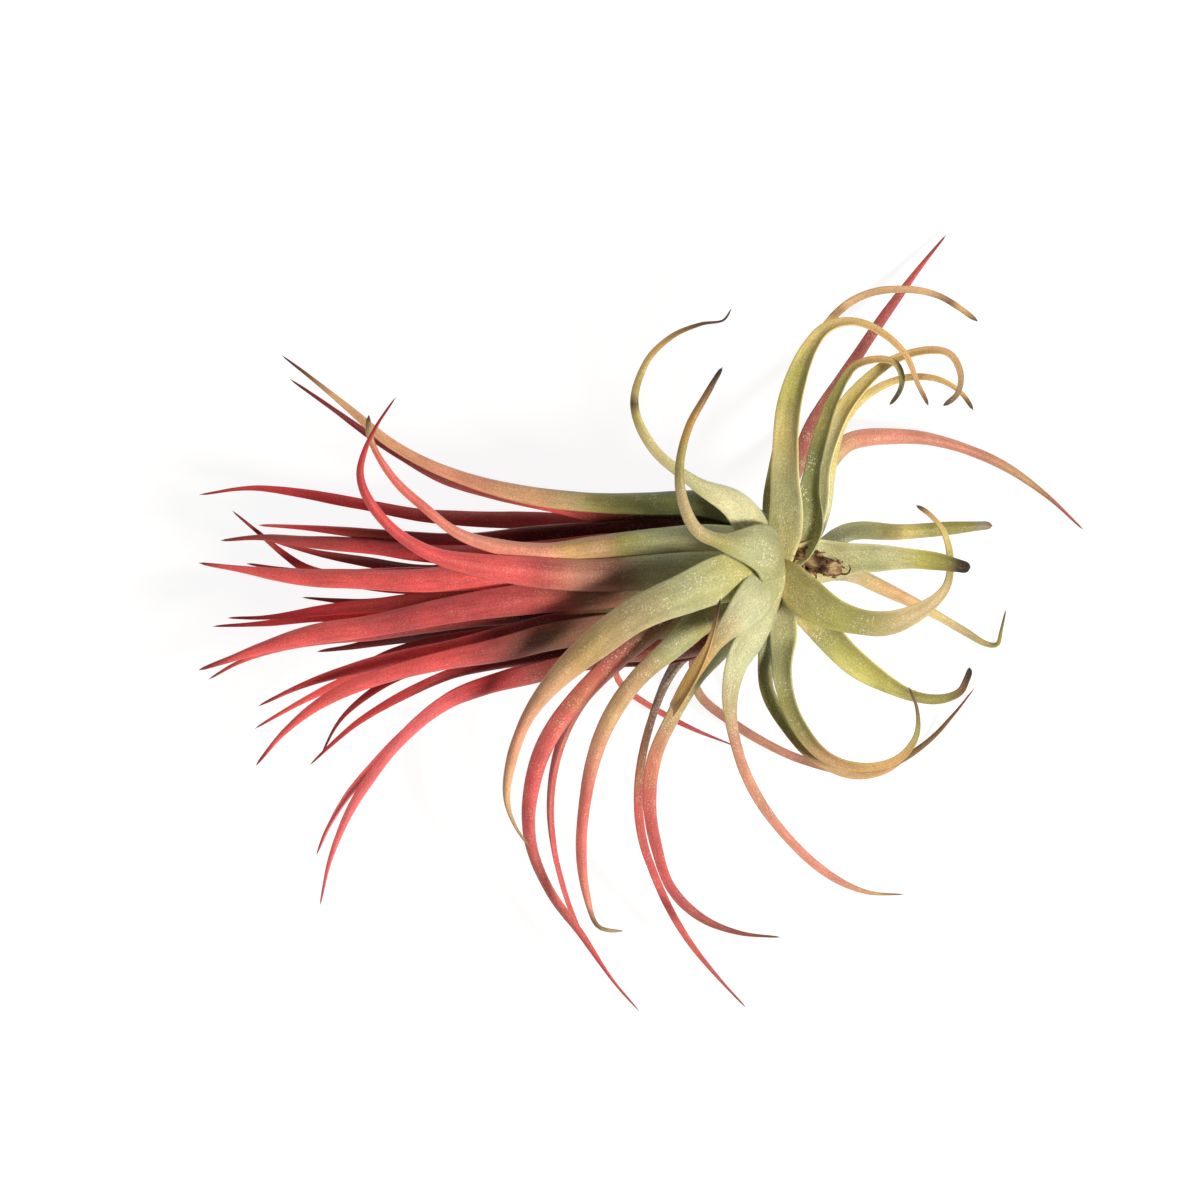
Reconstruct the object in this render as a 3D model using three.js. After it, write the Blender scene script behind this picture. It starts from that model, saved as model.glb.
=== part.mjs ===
// A red air plant, Tillandsia ionantha 'Rubra', lying on its side.
//
// Millimetres, +Z up. The crown of young red leaves points along -X and sinks a little, and the old
// green leaves bend back round the root stub at the +X end. The plant rests on the tips of its lowest
// leaves. Each leaf is a tapered, channelled blade that is swept along its own smooth path.

import * as THREE from "three";

// Stem: a short tapered core with rounded ends. Every leaf is rooted on its side.
const stemBase = new THREE.Vector3(4, 0.5, 36.8);
const stemHeading = new THREE.Vector3(-1, -0.05, -0.2).normalize();
const stemLength = 31;
const stemBaseRadius = 3.0;
const stemTopRadius = 1.0;
const stemRounding = [[0, 0.85], [1.2, 1], [15.5, 1], [30, 1], [31, 0.6]]; // [along, share of the radius]

// Root stub, on top of the lowest leaf bases: [distance out, across, height, radius] from its start.
const stubStart = new THREE.Vector3(1.7, 2.4, 42);
const stubStops = [[0, 0, 0, 0.5], [1.1, -0.4, 0.1, 0.9], [2.8, -0.9, 0.3, 1.1], [4.4, -1.4, 0.6, 1],
  [5.6, -1.8, 0.8, 0.6]];
const stubPoint = 0.4; // how far the stub stands past its first and last ring
const stubRoughness = 0.16;
const stubLobes = 3;
const stubTwist = 1.7; // turn of the lobes from one ring to the next

// Leaf blade: widest at its sheath, then tapered to the tip.
const rootGap = 0.3; // clearance between a leaf's root and the stem
const outerRootShare = 0.75; // width of a leaf at its root, per sheath width
const crownRootShare = 0.55;
const sheathThickness = 1.3;
const bladeThickness = 0.9;
const tipThickness = 0.6;
const rootChannel = 0.1; // how far the edges stand above the midrib, per width
const bladeChannel = 0.3;

// Places along a leaf, from 0 at its root to 1 at its tip.
const sheathPlace = 0.12;
const channelPlace = 0.25;
const thinPlace = 0.3;
const bladePlace = 0.4;
const latePlace = 0.75;
const lastSection = 0.99;

// Blade section: its thin edges stand above a rounded back.
const edgeShare = 0.7; // rise of the edges, per channel depth
const midribShare = 0.3; // drop of the midrib, per channel depth
const backPlace = 0.65; // where the back turns up to the edge, per half width
const backShare = 0.7; // thickness there, per thickness at the midrib

const ringStep = 5; // distance between sections on a straight stretch
const turnStep = 0.45; // turn in radians between sections on a bend
const pathSamples = 200; // places where the path's bend is measured
const sightLine = 25; // distance ahead on the stem that a leaf's channel faces
const stemSides = 12;
const stubSides = 7;

// The lowest leaves are pressed flat where they meet the surface below.
const floorHeight = 0.9;

// A leaf is [name, place along the stem, widths of sheath, blade and last third, tip, tone, path,
// turn of its channel towards the sky or, when negative, the ground]. The last is left out where
// the channel faces the crown as it grew.

// Old outer leaves, round the plant from its upper edge to its lower one.
const outerLeaves = [
  ["outer_leaf_01", 7.5, [6.4, 1.6, 0.9], "hair", "yellow",
    [[-6, 9, 42], [-11.5, 12, 43], [-17, 16.5, 42], [-19.5, 22, 41], [-18.1, 27.3, 42],
      [-14.8, 30.8, 44], [-11, 32.5, 46], [-8, 33, 47], [-7, 34.5, 48]]],
  ["outer_leaf_02", 5.2, [7.4, 1.9, 1.2], "blunt", "green",
    [[-2.4, 3.3, 45], [-8, 4.3, 50], [-11.5, 6, 53], [-13.3, 10, 54], [-13.6, 14.5, 54],
      [-12.4, 19.3, 53], [-10.4, 23, 52], [-8.2, 26.9, 51]]],
  ["outer_leaf_03", 4.8, [4.4, 2.4, 1.3], "blunt", "orange",
    [[-1.5, 9, 32.6], [-0.7, 15.5, 34], [1.1, 23.3, 36], [3.5, 29.2, 37], [7.1, 34.3, 37],
      [11, 36.5, 36], [15.5, 37, 35], [19.9, 36.2, 33], [25, 33, 31]]],
  ["outer_leaf_04", 4.2, [4.3, 3.7, 1.1], "blunt", "yellow",
    [[0.3, 8.5, 41.5], [0.2, 15, 45.5], [0.8, 22, 48], [3.1, 29, 49], [5.5, 32, 49], [9, 32.7, 48],
      [12.5, 31.3, 47], [15.5, 28.5, 46], [17, 25, 45], [18.5, 22, 44]], 0.5],
  ["outer_leaf_05", 2.8, [4.2, 2.4, 1.1], "blunt", "green",
    [[3.5, 6, 40.5], [3.5, 11, 42], [4.5, 17, 43], [6.5, 23, 43.5], [9, 27, 43.5], [12.4, 27.9, 43.5],
      [14.3, 27.3, 43], [15.1, 25.5, 42.5], [14.7, 23.7, 42], [13.5, 22, 41.5]]],
  ["outer_leaf_06", 2.2, [3.8, 2.6, 1.2], "blunt", "orange",
    [[4, 8, 36], [5, 14.5, 36], [7.5, 21, 37], [10.8, 25.2, 38], [14.5, 28, 39], [19, 29.1, 39],
      [21.5, 28.5, 38], [22.7, 26, 38], [22.3, 23.6, 38], [20.5, 22, 38]], 2],
  ["outer_leaf_07", 3.1, [3.6, 1.8, 1.1], "blunt", "orange",
    [[5, 8, 30.5], [6, 13.5, 30], [7.5, 19.5, 29], [11, 23.5, 29], [15.5, 25.5, 29], [19.5, 25.5, 29],
      [22.5, 24, 29], [24.5, 21.5, 29]]],
  ["outer_leaf_08", 11, [3.4, 2.7, 1.7], "sharp", "red",
    [[0.5, 11, 22], [3.8, 19.1, 16], [8.2, 26.2, 11], [13.2, 33.7, 7], [17.9, 40.3, 4],
      [21.2, 44.5, 2.5]]],
  ["outer_leaf_09", 5.6, [3.6, 2.8, 1.4], "sharp", "pink",
    [[3.5, 10, 18], [6, 14.5, 13], [8.9, 17.3, 10], [14.5, 18, 7], [20, 17.5, 5], [28.1, 14.6, 3],
      [34.1, 10.6, 1.5], [39.5, 5.9, 1]]],
  ["outer_leaf_10", 0.5, [3.8, 2.4, 1.9], "blunt", "green",
    [[8.5, 5.5, 28], [15, 5.5, 27], [21.5, 6, 26], [27, 6.5, 26]]],
  ["outer_leaf_11", 0.5, [5.6, 3.9, 2.6], "blunt", "green",
    [[5.4, 2.1, 39.4], [9.5, 2.4, 41], [14.5, 2.4, 42.5], [19.2, 2, 43.5], [24, 1, 44]]],
  ["outer_leaf_12", 1.2, [6.4, 3.7, 1.4], "blunt", "green",
    [[3, -2.5, 42], [7, -5, 44], [12.5, -6, 44], [17.5, -4.4, 42.5], [20.7, -1.6, 41], [21.3, 2, 39.5],
      [20.5, 5.5, 38.5], [19, 7.5, 38], [17, 9, 37.5]], 0.6],
  ["outer_leaf_13", 1.8, [3.2, 2.1, 1.1], "hair", "yellow",
    [[8, 0.5, 22], [13, -1.6, 14], [19, -4.6, 8], [24, -7.5, 3], [26.6, -9, 1.2], [27.8, -9.1, 1.5],
      [28.4, -7.1, 3], [29, -4.5, 5]]],
  ["outer_leaf_14", 2, [5.4, 4.2, 2.6], "blunt", "yellow",
    [[4, -5.5, 36], [7.8, -9.8, 34], [12, -13.1, 32], [16.7, -15.6, 31], [20.1, -16, 31],
      [22.6, -15.1, 32], [23.5, -13.5, 33], [24, -12, 34]], 2],
  ["outer_leaf_15", 5.8, [3.8, 2.3, 1.2], "hair", "green",
    [[0, -8, 35.3], [-0.1, -13.7, 38], [1.6, -19, 37], [5.5, -23.6, 36], [10.4, -24.9, 36],
      [14.6, -23.8, 36], [16.9, -21, 37], [17.1, -17.6, 38], [16, -14.5, 39]]],
  ["outer_leaf_16", 7.6, [4.6, 2.8, 2], "blunt", "green",
    [[-2.2, -8.5, 33], [-2.2, -14.5, 33], [0.2, -19, 32], [4, -23.5, 31], [9, -25.6, 30],
      [13, -25.1, 30], [16, -23, 30]]],
  ["outer_leaf_17", 2.9, [5.4, 1.9, 1.3], "sharp", "yellow",
    [[-3.8, -7.6, 40.3], [-6, -11.5, 43.5], [-7, -17, 44], [-5.8, -23.6, 42], [-2.9, -29.7, 38],
      [1.9, -35.6, 33], [6.9, -39.6, 28], [11, -41.3, 25], [15.5, -41.6, 22]]],
  ["outer_leaf_18", 7.9, [5.8, 2.3, 1.4], "hair", "orange",
    [[-5, -4.5, 47], [-9, -9, 53], [-12.5, -14, 58], [-14.5, -17.5, 61], [-13.5, -16, 64],
      [-11, -11.5, 64.5], [-9.5, -7.5, 64.5], [-8.5, -3, 64]]],
  ["outer_leaf_19", 9, [4.4, 2.5, 1.5], "sharp", "orange",
    [[-6.5, -8, 37.5], [-11.1, -13, 39], [-14.2, -18.1, 38], [-16.6, -23.3, 36], [-17.4, -29, 33],
      [-16.6, -35, 29], [-14.7, -40.6, 25], [-10.6, -44.7, 21], [-5.5, -46.7, 18], [-0.5, -47.2, 16]]],
  ["outer_leaf_20", 10, [3.4, 1.9, 1.2], "sharp", "red",
    [[-10.5, -8.5, 30], [-13.5, -11, 28], [-16, -15, 26], [-18, -21, 23], [-19, -27.5, 20],
      [-18.5, -34, 17], [-16.5, -40, 14], [-13.5, -46, 10], [-9.5, -51.5, 6], [-5, -56.5, 3]]],
  ["outer_leaf_21", 10.9, [4.6, 2.5, 1.5], "blunt", "orange",
    [[-9.5, -5, 42], [-14.5, -9.5, 43], [-18.8, -13.3, 42], [-22.4, -18.3, 40], [-24.6, -23.5, 37],
      [-25.9, -29.5, 34], [-26.4, -35.5, 31], [-25.8, -41.5, 28], [-24.3, -45.7, 26],
      [-22.9, -46.2, 26], [-21, -46.3, 26]]],
  ["outer_leaf_22", 9.7, [6, 4.6, 1.8], "sharp", "yellow",
    [[-8, -0.5, 47], [-13, -2.5, 50], [-19.2, -5.2, 50], [-24.5, -9, 49], [-29.3, -13.2, 47],
      [-33.4, -18.4, 44], [-35.5, -23.8, 41], [-36.2, -29, 38], [-35.2, -32.4, 36], [-33, -35.7, 35]]],
  ["outer_leaf_23", 12.3, [3.8, 3, 1.4], "sharp", "red",
    [[-14.5, -5.5, 39], [-19.8, -9.3, 39], [-24.4, -13.6, 37], [-28.9, -18.8, 34], [-31.9, -24.3, 29],
      [-33.2, -30.5, 26], [-32.9, -35.5, 23], [-30.5, -41.3, 19], [-26.3, -47.1, 14],
      [-22.4, -52.9, 10], [-18.9, -57.5, 7]]],
  ["outer_leaf_24", 12, [2.8, 1.7, 1.3], "sharp", "red",
    [[-17, -9, 27], [-22, -14, 25], [-25.5, -18, 23], [-28.5, -23, 21], [-30, -28.5, 19],
      [-30, -34, 17], [-28.5, -40, 14], [-26, -46.5, 11], [-22, -52.5, 8]]],
  ["outer_leaf_25", 8, [3, 1.4, 1.2], "sharp", "pink",
    [[-11, -9, 14], [-12, -12.5, 10], [-10.8, -15.8, 7], [-7.5, -18.6, 5], [-2.7, -21.7, 3],
      [2.9, -24.2, 1.6], [9, -25.5, 0.9], [14.5, -24.4, 1.2], [18.8, -21.7, 2], [22.4, -17.9, 4],
      [24.9, -14.7, 6]]],
  ["outer_leaf_26", 13.1, [2.6, 1.1, 0.9], "sharp", "pink",
    [[-19, -9, 16], [-22, -12, 13], [-21, -14.5, 10], [-17.5, -17, 8], [-12, -20, 5], [-6, -22.5, 3]]],
];

// Crown leaves, from the upper edge of the tuft to the lower one.
const crownLeaves = [
  ["crown_leaf_01", 14, [4.8, 3.3, 1.6], "sharp", "orange",
    [[-17.5, 9.6, 35], [-24, 9.7, 34.5], [-32, 10.5, 33], [-39.5, 12.1, 31.5], [-45.9, 14.4, 30],
      [-51.4, 17.4, 29], [-56.2, 21.4, 28], [-61, 25.2, 27], [-65.5, 28.6, 26]], -0.8],
  ["crown_leaf_02", 17, [3.6, 2.4, 1.5], "sharp", "red",
    [[-23, 7.8, 31], [-30.4, 9.3, 30], [-38.4, 10.9, 27.5], [-44.8, 12.8, 26], [-49.8, 15.6, 25],
      [-54.3, 18.5, 24], [-59, 21.8, 23], [-64.4, 25.5, 22]], 0.4],
  ["crown_leaf_03", 14.5, [3.6, 2.7, 1.7], "sharp", "red",
    [[-24, 6.9, 25.5], [-32, 7.3, 24], [-39.5, 7.5, 22], [-47.5, 8, 20], [-55, 9.4, 18],
      [-63, 10.8, 17], [-69.5, 11.4, 16], [-76.5, 10.5, 15]], 0.8],
  ["crown_leaf_04", 13, [3.8, 3.4, 1.4], "blunt", "orange",
    [[-17.5, 4.4, 39], [-24, 3.8, 39.3], [-31, 3, 40.2], [-37.5, 3.9, 41.2], [-42.4, 5.5, 43],
      [-46.7, 8.8, 44], [-50.6, 12.4, 45], [-52.9, 15.8, 46], [-53.9, 18.4, 47],
      [-54, 20.7, 47]], -0.4],
  ["crown_leaf_05", 14.5, [4, 3.4, 1.8], "sharp", "red",
    [[-19, 0.3, 40.6], [-25.5, 0, 41], [-32, 0.4, 42], [-39, 1.2, 43], [-45.5, 2.6, 44],
      [-50.5, 5.6, 45], [-54, 9.7, 46.5], [-55.1, 13, 48], [-54.5, 16, 49], [-52.9, 19.4, 50],
      [-50.5, 23, 50.5]], -0.8],
  ["crown_leaf_06", 21.5, [3.2, 3.3, 2], "sharp", "red",
    [[-24, 6, 30], [-32, 5.6, 30], [-41, 4.8, 29], [-50, 5.2, 28], [-58, 5.9, 27], [-63.5, 6.3, 26],
      [-68.5, 6.5, 25]], 0.8],
  ["crown_leaf_07", 24, [3.2, 2.6, 1.7], "sharp", "red",
    [[-24, 0, 27], [-32, -0.5, 26], [-41, -1, 24.5], [-50, -1.5, 23], [-56.5, -0.7, 22],
      [-62, 0.7, 21.5], [-65, 2.6, 21], [-68, 5.1, 21], [-72, 8.4, 21]], 0.8],
  ["crown_leaf_08", 19, [3, 4, 2.4], "sharp", "red",
    [[-24, 4.1, 33.5], [-32, 3.3, 33], [-39.5, 2.9, 32], [-47.5, 3.2, 30], [-55, 4.1, 28],
      [-63, 4.6, 26], [-68, 5, 24], [-73.5, 4.5, 22]]],
  ["crown_leaf_09", 18.8, [4.4, 4.2, 2.6], "sharp", "red",
    [[-24, 1, 36.4], [-32, 0.6, 36.4], [-39.5, 0.1, 36], [-47.5, -0.6, 34.5], [-56.5, -0.4, 32],
      [-63, -0.2, 30], [-69.5, 0.6, 28], [-76.5, 1.6, 26]], -0.8],
  ["crown_leaf_10", 20.3, [3, 2.6, 1.7], "sharp", "red",
    [[-24, -2, 22.2], [-32, -2.5, 20.5], [-39.5, -3.1, 19], [-47.5, -3.2, 16], [-54, -3.7, 13],
      [-59, -3.3, 10], [-63, -2.9, 8]], 0.8],
  ["crown_leaf_11", 26.5, [3.6, 2.8, 1.8], "sharp", "red",
    [[-24, -2, 28.5], [-32, -2.5, 28], [-39.5, -3, 27.5], [-47.5, -3.5, 25], [-54, -4.1, 23],
      [-60.5, -4.7, 21], [-67, -5.5, 19.5], [-72.6, -5.6, 18]], 0.8],
  ["crown_leaf_12", 22.5, [2.8, 2.8, 1.8], "sharp", "red",
    [[-24, -2.3, 24.5], [-32, -4, 22.5], [-39.5, -4.5, 21], [-47.5, -5, 19.3], [-54, -5.3, 17.6],
      [-60.5, -5.4, 17], [-67.5, -6.3, 15.5], [-74.6, -6.7, 14]]],
  ["crown_leaf_13", 16.6, [5, 4.8, 3], "sharp", "red",
    [[-19, -1.5, 38], [-24, -2.5, 38.6], [-30.5, -3.1, 38.6], [-38.5, -4.2, 38], [-46, -5.5, 37],
      [-54, -6.7, 35], [-62, -7.9, 33], [-67.9, -9.5, 31], [-72.9, -11.2, 29.5],
      [-76.5, -12.4, 28]], -0.8],
  ["crown_leaf_14", 23, [3.8, 3.2, 1.8], "sharp", "red",
    [[-24, -4.5, 34.4], [-32, -5.1, 33.5], [-39.5, -5.7, 32], [-47.5, -6.9, 30], [-54, -7.9, 28.5],
      [-60.5, -8.5, 27], [-67, -9.9, 25.5], [-71.7, -11.7, 24], [-75, -13.6, 23]], -0.8],
  ["crown_leaf_15", 20, [3, 3.4, 2.2], "sharp", "red",
    [[-24, -5.3, 27], [-32, -6, 26], [-39.5, -7, 24], [-47.5, -7.9, 21], [-52.5, -8.7, 18],
      [-57, -9.5, 16], [-61, -10, 14]], 0.8],
  ["crown_leaf_16", 19, [4, 3.6, 2], "sharp", "red",
    [[-24, -6, 36.5], [-30.5, -7, 36.2], [-37, -8.4, 35], [-43.5, -9.8, 33.8], [-50, -10.9, 32.2],
      [-56.5, -12.5, 30.5], [-63, -14.5, 29], [-68.6, -17.1, 28]], -0.8],
  ["crown_leaf_17", 22, [3, 3.6, 2.1], "sharp", "red",
    [[-24, -6.5, 30], [-32, -7.1, 28.5], [-39.5, -8.1, 27.5], [-46, -9, 25], [-51.5, -10.3, 23],
      [-55, -11.8, 21.5], [-58, -13.5, 20]], 0.8],
  ["crown_leaf_18", 20.5, [3.2, 3, 1.8], "sharp", "red",
    [[-24, -7.5, 33], [-30.5, -8, 32.5], [-37, -8.9, 32], [-43.4, -10.1, 30.3], [-50, -11.8, 28.5],
      [-56.5, -13.7, 27], [-63, -16.6, 25.5], [-69, -20, 24]], -0.4],
  ["crown_leaf_19", 15.5, [4.2, 4, 2.2], "sharp", "red",
    [[-21.5, -7, 37.5], [-25.5, -7.5, 38], [-31, -8.5, 38.5], [-37, -10, 38], [-43.5, -11.2, 37],
      [-50, -12.7, 35.5], [-56.9, -15, 34], [-61.4, -17.5, 33], [-65.3, -20.7, 32],
      [-68.8, -24.8, 31]]],
  ["crown_leaf_20", 17, [3.2, 2.4, 1.4], "sharp", "red",
    [[-24, -9, 25.5], [-30.5, -10, 25.5], [-37, -10.5, 25], [-43.5, -11.5, 24.5], [-49.5, -13, 24],
      [-54, -15.5, 24], [-58, -19.1, 22], [-60.4, -23.5, 20]], 0.8],
  ["crown_leaf_21", 16.5, [3.6, 2.8, 1.6], "sharp", "red",
    [[-24, -9.8, 32], [-30.5, -10.7, 32], [-37, -11.6, 31.5], [-43.6, -13.1, 30.5],
      [-50.2, -16.1, 29.5], [-55.3, -19.1, 28], [-58.9, -22, 27], [-61.8, -24.7, 26]]],
  ["crown_leaf_22", 14, [2.8, 3, 1.9], "sharp", "red",
    [[-24, -11.3, 27.5], [-30.5, -12.3, 27], [-37, -13.9, 26.5], [-43, -16, 26], [-48.1, -19.9, 25.5],
      [-52.7, -24.3, 24], [-57, -29, 22.5], [-59.5, -33, 21], [-61, -36.5, 20]]],
  ["crown_leaf_23", 13.5, [4, 3.4, 1.7], "sharp", "red",
    [[-23, -11, 34], [-28, -12.5, 35.5], [-33, -14, 35], [-38.5, -15.5, 34.5], [-43.5, -17.5, 33.5],
      [-49, -21.5, 32], [-53, -26, 30.5], [-56.5, -31, 29], [-59, -37, 27.5], [-60.5, -43, 26]]],
  ["crown_leaf_24", 24, [3.4, 2.8, 1.7], "sharp", "red",
    [[-24, 2, 29.6], [-32, 1.5, 28.8], [-39.5, 0.9, 28], [-47.5, 0.8, 26], [-54, 1.8, 24.5],
      [-60.5, 2.9, 23], [-65, 4, 22], [-68.5, 5.1, 21.5]], 0.8],
  ["crown_leaf_25", 22.5, [3.4, 2.8, 1.8], "sharp", "red",
    [[-24, 1.2, 32.6], [-32, 1.5, 33], [-39.5, 0.5, 32], [-50, 0.4, 30], [-58, 0.2, 28],
      [-64.5, 0.7, 26.5], [-70, 1.5, 25]], -0.8],
];

// Under leaves: the plant lies on these.
const underLeaves = [
  ["under_leaf_01", 17.2, [3, 2.4, 1.6], "sharp", "red",
    [[-24, -3, 20], [-32, -3.5, 14], [-41, -4, 9], [-50, -4.5, 4], [-56.5, -5, 1.2],
      [-60.5, -5.5, 0.8]]],
  ["under_leaf_02", 15, [3, 2.4, 1.6], "sharp", "red",
    [[-23, 1.5, 20], [-30.5, 2, 15], [-39.5, 2.5, 9], [-47.5, 3, 4], [-54, 3.5, 1.2], [-58.5, 4, 0.8]]],
  ["under_leaf_03", 15.1, [3, 2.4, 1.6], "sharp", "red",
    [[-23, -6.8, 20], [-29, -8.5, 15], [-37, -10, 9], [-43.5, -11.5, 4], [-49.5, -13, 1.2],
      [-53.5, -15, 0.8]]],
  ["under_leaf_04", 3.5, [3, 2.4, 1.6], "sharp", "yellow",
    [[6.5, 2, 20], [10.5, 2, 12], [15, 2, 6], [19, 2, 2], [21.5, 1.5, 0.8]]],
  ["under_leaf_05", 7, [3, 2.4, 1.6], "sharp", "yellow",
    [[-0.5, 7, 20], [0, 12.5, 11], [0.5, 17.5, 4], [0.5, 22, 1], [1, 24.5, 0.8]]],
  ["under_leaf_06", 5, [3, 2.4, 1.6], "sharp", "yellow",
    [[-3, -6.5, 18], [-5, -11, 9], [-6.5, -16, 3], [-6, -21.5, 0.9], [-5.5, -24, 0.8]]],
];

// Width left at the tip, as a share of the last third's width.
const tipWidths = { sharp: 0.25, hair: 0.3, blunt: 0.75 };

const tones = {
  green: 0x9aa06a,
  yellow: 0xb5b04f,
  orange: 0xd9a066,
  pink: 0xe8685f,
  red: 0xc8474a,
  wood: 0x6b4a35,
};

const roughness = 0.75; // dull, from the coat of fine grey scales

function material(tone) {
  return new THREE.MeshStandardMaterial({ color: tones[tone], roughness, metalness: 0 });
}

// Closed mesh from rings of equal size, with a fan to a centre point at each end.
function loft(rings, startPoint, endPoint) {
  const size = rings[0].length;
  const points = [...rings.flat(), startPoint, endPoint];
  const start = points.length - 2;
  const end = points.length - 1;
  const index = [];
  for (let ring = 0; ring + 1 < rings.length; ring++) {
    for (let side = 0; side < size; side++) {
      const next = (side + 1) % size;
      const a = ring * size + side;
      const b = ring * size + next;
      index.push(a, b, b + size, a, b + size, a + size);
    }
  }
  const last = (rings.length - 1) * size;
  for (let side = 0; side < size; side++) {
    const next = (side + 1) % size;
    index.push(start, next, side, end, last + side, last + next);
  }
  const geometry = new THREE.BufferGeometry();
  geometry.setAttribute("position", new THREE.Float32BufferAttribute(points.flatMap((p) => p.toArray()), 3));
  geometry.setIndex(index);
  geometry.computeVertexNormals();
  return geometry;
}

function stemRadius(along) {
  return THREE.MathUtils.lerp(stemBaseRadius, stemTopRadius, along / stemLength);
}

function stemPoint(along) {
  return stemBase.clone().addScaledVector(stemHeading, along);
}

// Root of a leaf: on the stem's side, turned towards the leaf's first path point.
function rootPoint(along, towards) {
  const centre = stemPoint(along);
  const outward = towards.clone().sub(centre);
  outward.addScaledVector(stemHeading, -outward.dot(stemHeading)).normalize();
  return centre.addScaledVector(outward, stemRadius(along) + rootGap + sheathThickness / 2);
}

// Piecewise smooth value at t through [t, value] stops.
function ramp(stops, t) {
  for (let i = 1; i < stops.length; i++) {
    const [t0, v0] = stops[i - 1];
    const [t1, v1] = stops[i];
    if (t <= t1) return THREE.MathUtils.lerp(v0, v1, THREE.MathUtils.smoothstep(t, t0, t1));
  }
  return stops.at(-1)[1];
}

// Places along the path where a section is needed: close on a bend, wide apart where straight.
function sectionPlaces(curve) {
  const step = curve.getLength() / pathSamples;
  const places = [0];
  let cost = 0;
  let before = curve.getTangentAt(0);
  for (let i = 1; i / pathSamples < lastSection; i++) {
    const tangent = curve.getTangentAt(i / pathSamples);
    cost += step / ringStep + tangent.angleTo(before) / turnStep;
    before = tangent;
    if (cost >= 1) {
      places.push(i / pathSamples);
      cost = 0;
    }
  }
  return [...places, lastSection];
}

// Section of a blade with its channel open upwards, as [across, height] points.
function bladeSection(half, thick, depth) {
  return [[-half, depth * edgeShare], [-half * backPlace, -thick * backShare],
    [0, -thick - depth * midribShare], [half * backPlace, -thick * backShare],
    [half, depth * edgeShare], [0, thick - depth * midribShare]];
}

function leafGeometry(along, rootShare, [sheath, blade, late], tip, path, skyTurn = 0) {
  const way = path.map(([x, y, z]) => new THREE.Vector3(x, y, z));
  const root = rootPoint(along, way[0]);
  const curve = new THREE.CatmullRomCurve3([root, ...way], false, "centripetal");
  curve.arcLengthDivisions = 2 * pathSamples;
  const widths = [[0, sheath * rootShare], [sheathPlace, sheath], [bladePlace, blade],
    [latePlace, late], [1, late * tipWidths[tip]]];
  const thicknesses = [[0, sheathThickness], [thinPlace, bladeThickness], [1, tipThickness]];
  const channels = [[0, rootChannel], [channelPlace, bladeChannel]];
  let tangent = curve.getTangentAt(0);
  const ahead = stemPoint(along + sightLine).sub(root);
  const up = ahead.addScaledVector(tangent, -ahead.dot(tangent)).normalize();
  const turn = new THREE.Quaternion();
  const rings = [];
  for (const t of sectionPlaces(curve)) {
    const heading = curve.getTangentAt(t);
    turn.setFromUnitVectors(tangent, heading);
    up.applyQuaternion(turn);
    up.addScaledVector(heading, -up.dot(heading)).normalize();
    tangent = heading;
    const facing = new THREE.Vector3(0, 0, skyTurn).add(up);
    facing.addScaledVector(heading, -facing.dot(heading)).normalize();
    const side = new THREE.Vector3().crossVectors(facing, heading);
    const centre = curve.getPointAt(t);
    const width = ramp(widths, t);
    const section = bladeSection(width / 2, ramp(thicknesses, t) / 2, width * ramp(channels, t));
    rings.push(section.map(([across, height]) =>
      centre.clone().addScaledVector(side, across).addScaledVector(facing, height)));
  }
  const end = curve.getPointAt(1);
  for (const point of [...rings.flat(), end]) point.z = Math.max(point.z, floorHeight);
  return loft(rings, root, end);
}

function stemGeometry() {
  const across = new THREE.Vector3(0, 1, 0);
  across.addScaledVector(stemHeading, -across.dot(stemHeading)).normalize();
  const up = new THREE.Vector3().crossVectors(stemHeading, across);
  const rings = stemRounding.map(([along, share]) => Array.from({ length: stemSides }, (_, i) => {
    const angle = (i / stemSides) * Math.PI * 2;
    const radius = stemRadius(along) * share;
    return stemPoint(along).addScaledVector(across, Math.cos(angle) * radius)
      .addScaledVector(up, Math.sin(angle) * radius);
  }));
  return loft(rings, stemPoint(0), stemPoint(stemLength));
}

// Root stub: the dry, uneven end of the stem.
function stubGeometry() {
  const turns = Array.from({ length: stubSides }, (_, i) => (i / stubSides) * Math.PI * 2);
  const rings = stubStops.map(([out, across, lift, radius], ring) => turns.map((angle) => {
    const uneven = radius * (1 + stubRoughness * Math.sin(stubLobes * angle + stubTwist * ring));
    const offset = new THREE.Vector3(out, across + Math.cos(angle) * uneven, lift + Math.sin(angle) * uneven);
    return stubStart.clone().add(offset);
  }));
  const [out, across, lift] = stubStops.at(-1);
  const before = stubStart.clone().add(new THREE.Vector3(-stubPoint, 0, 0));
  return loft(rings, before, stubStart.clone().add(new THREE.Vector3(out + stubPoint, across, lift)));
}

const plant = new THREE.Group();

function add(name, geometry, tone) {
  const mesh = new THREE.Mesh(geometry, material(tone));
  mesh.name = name;
  plant.add(mesh);
}

function addLeaves(leaves, rootShare) {
  for (const [name, along, widths, tip, tone, path, skyTurn] of leaves) {
    add(name, leafGeometry(along, rootShare, widths, tip, path, skyTurn), tone);
  }
}

add("stem", stemGeometry(), "wood");
add("root_stub", stubGeometry(), "wood");
addLeaves(outerLeaves, outerRootShare);
addLeaves(crownLeaves, crownRootShare);
addLeaves(underLeaves, crownRootShare);

// The origin lies under the middle of the plant, on the surface that it rests on.
const bounds = new THREE.Box3().setFromObject(plant);
plant.position.set(-(bounds.min.x + bounds.max.x) / 2, -(bounds.min.y + bounds.max.y) / 2, -bounds.min.z);

export default plant;
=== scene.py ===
import math
from functools import partial

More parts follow.
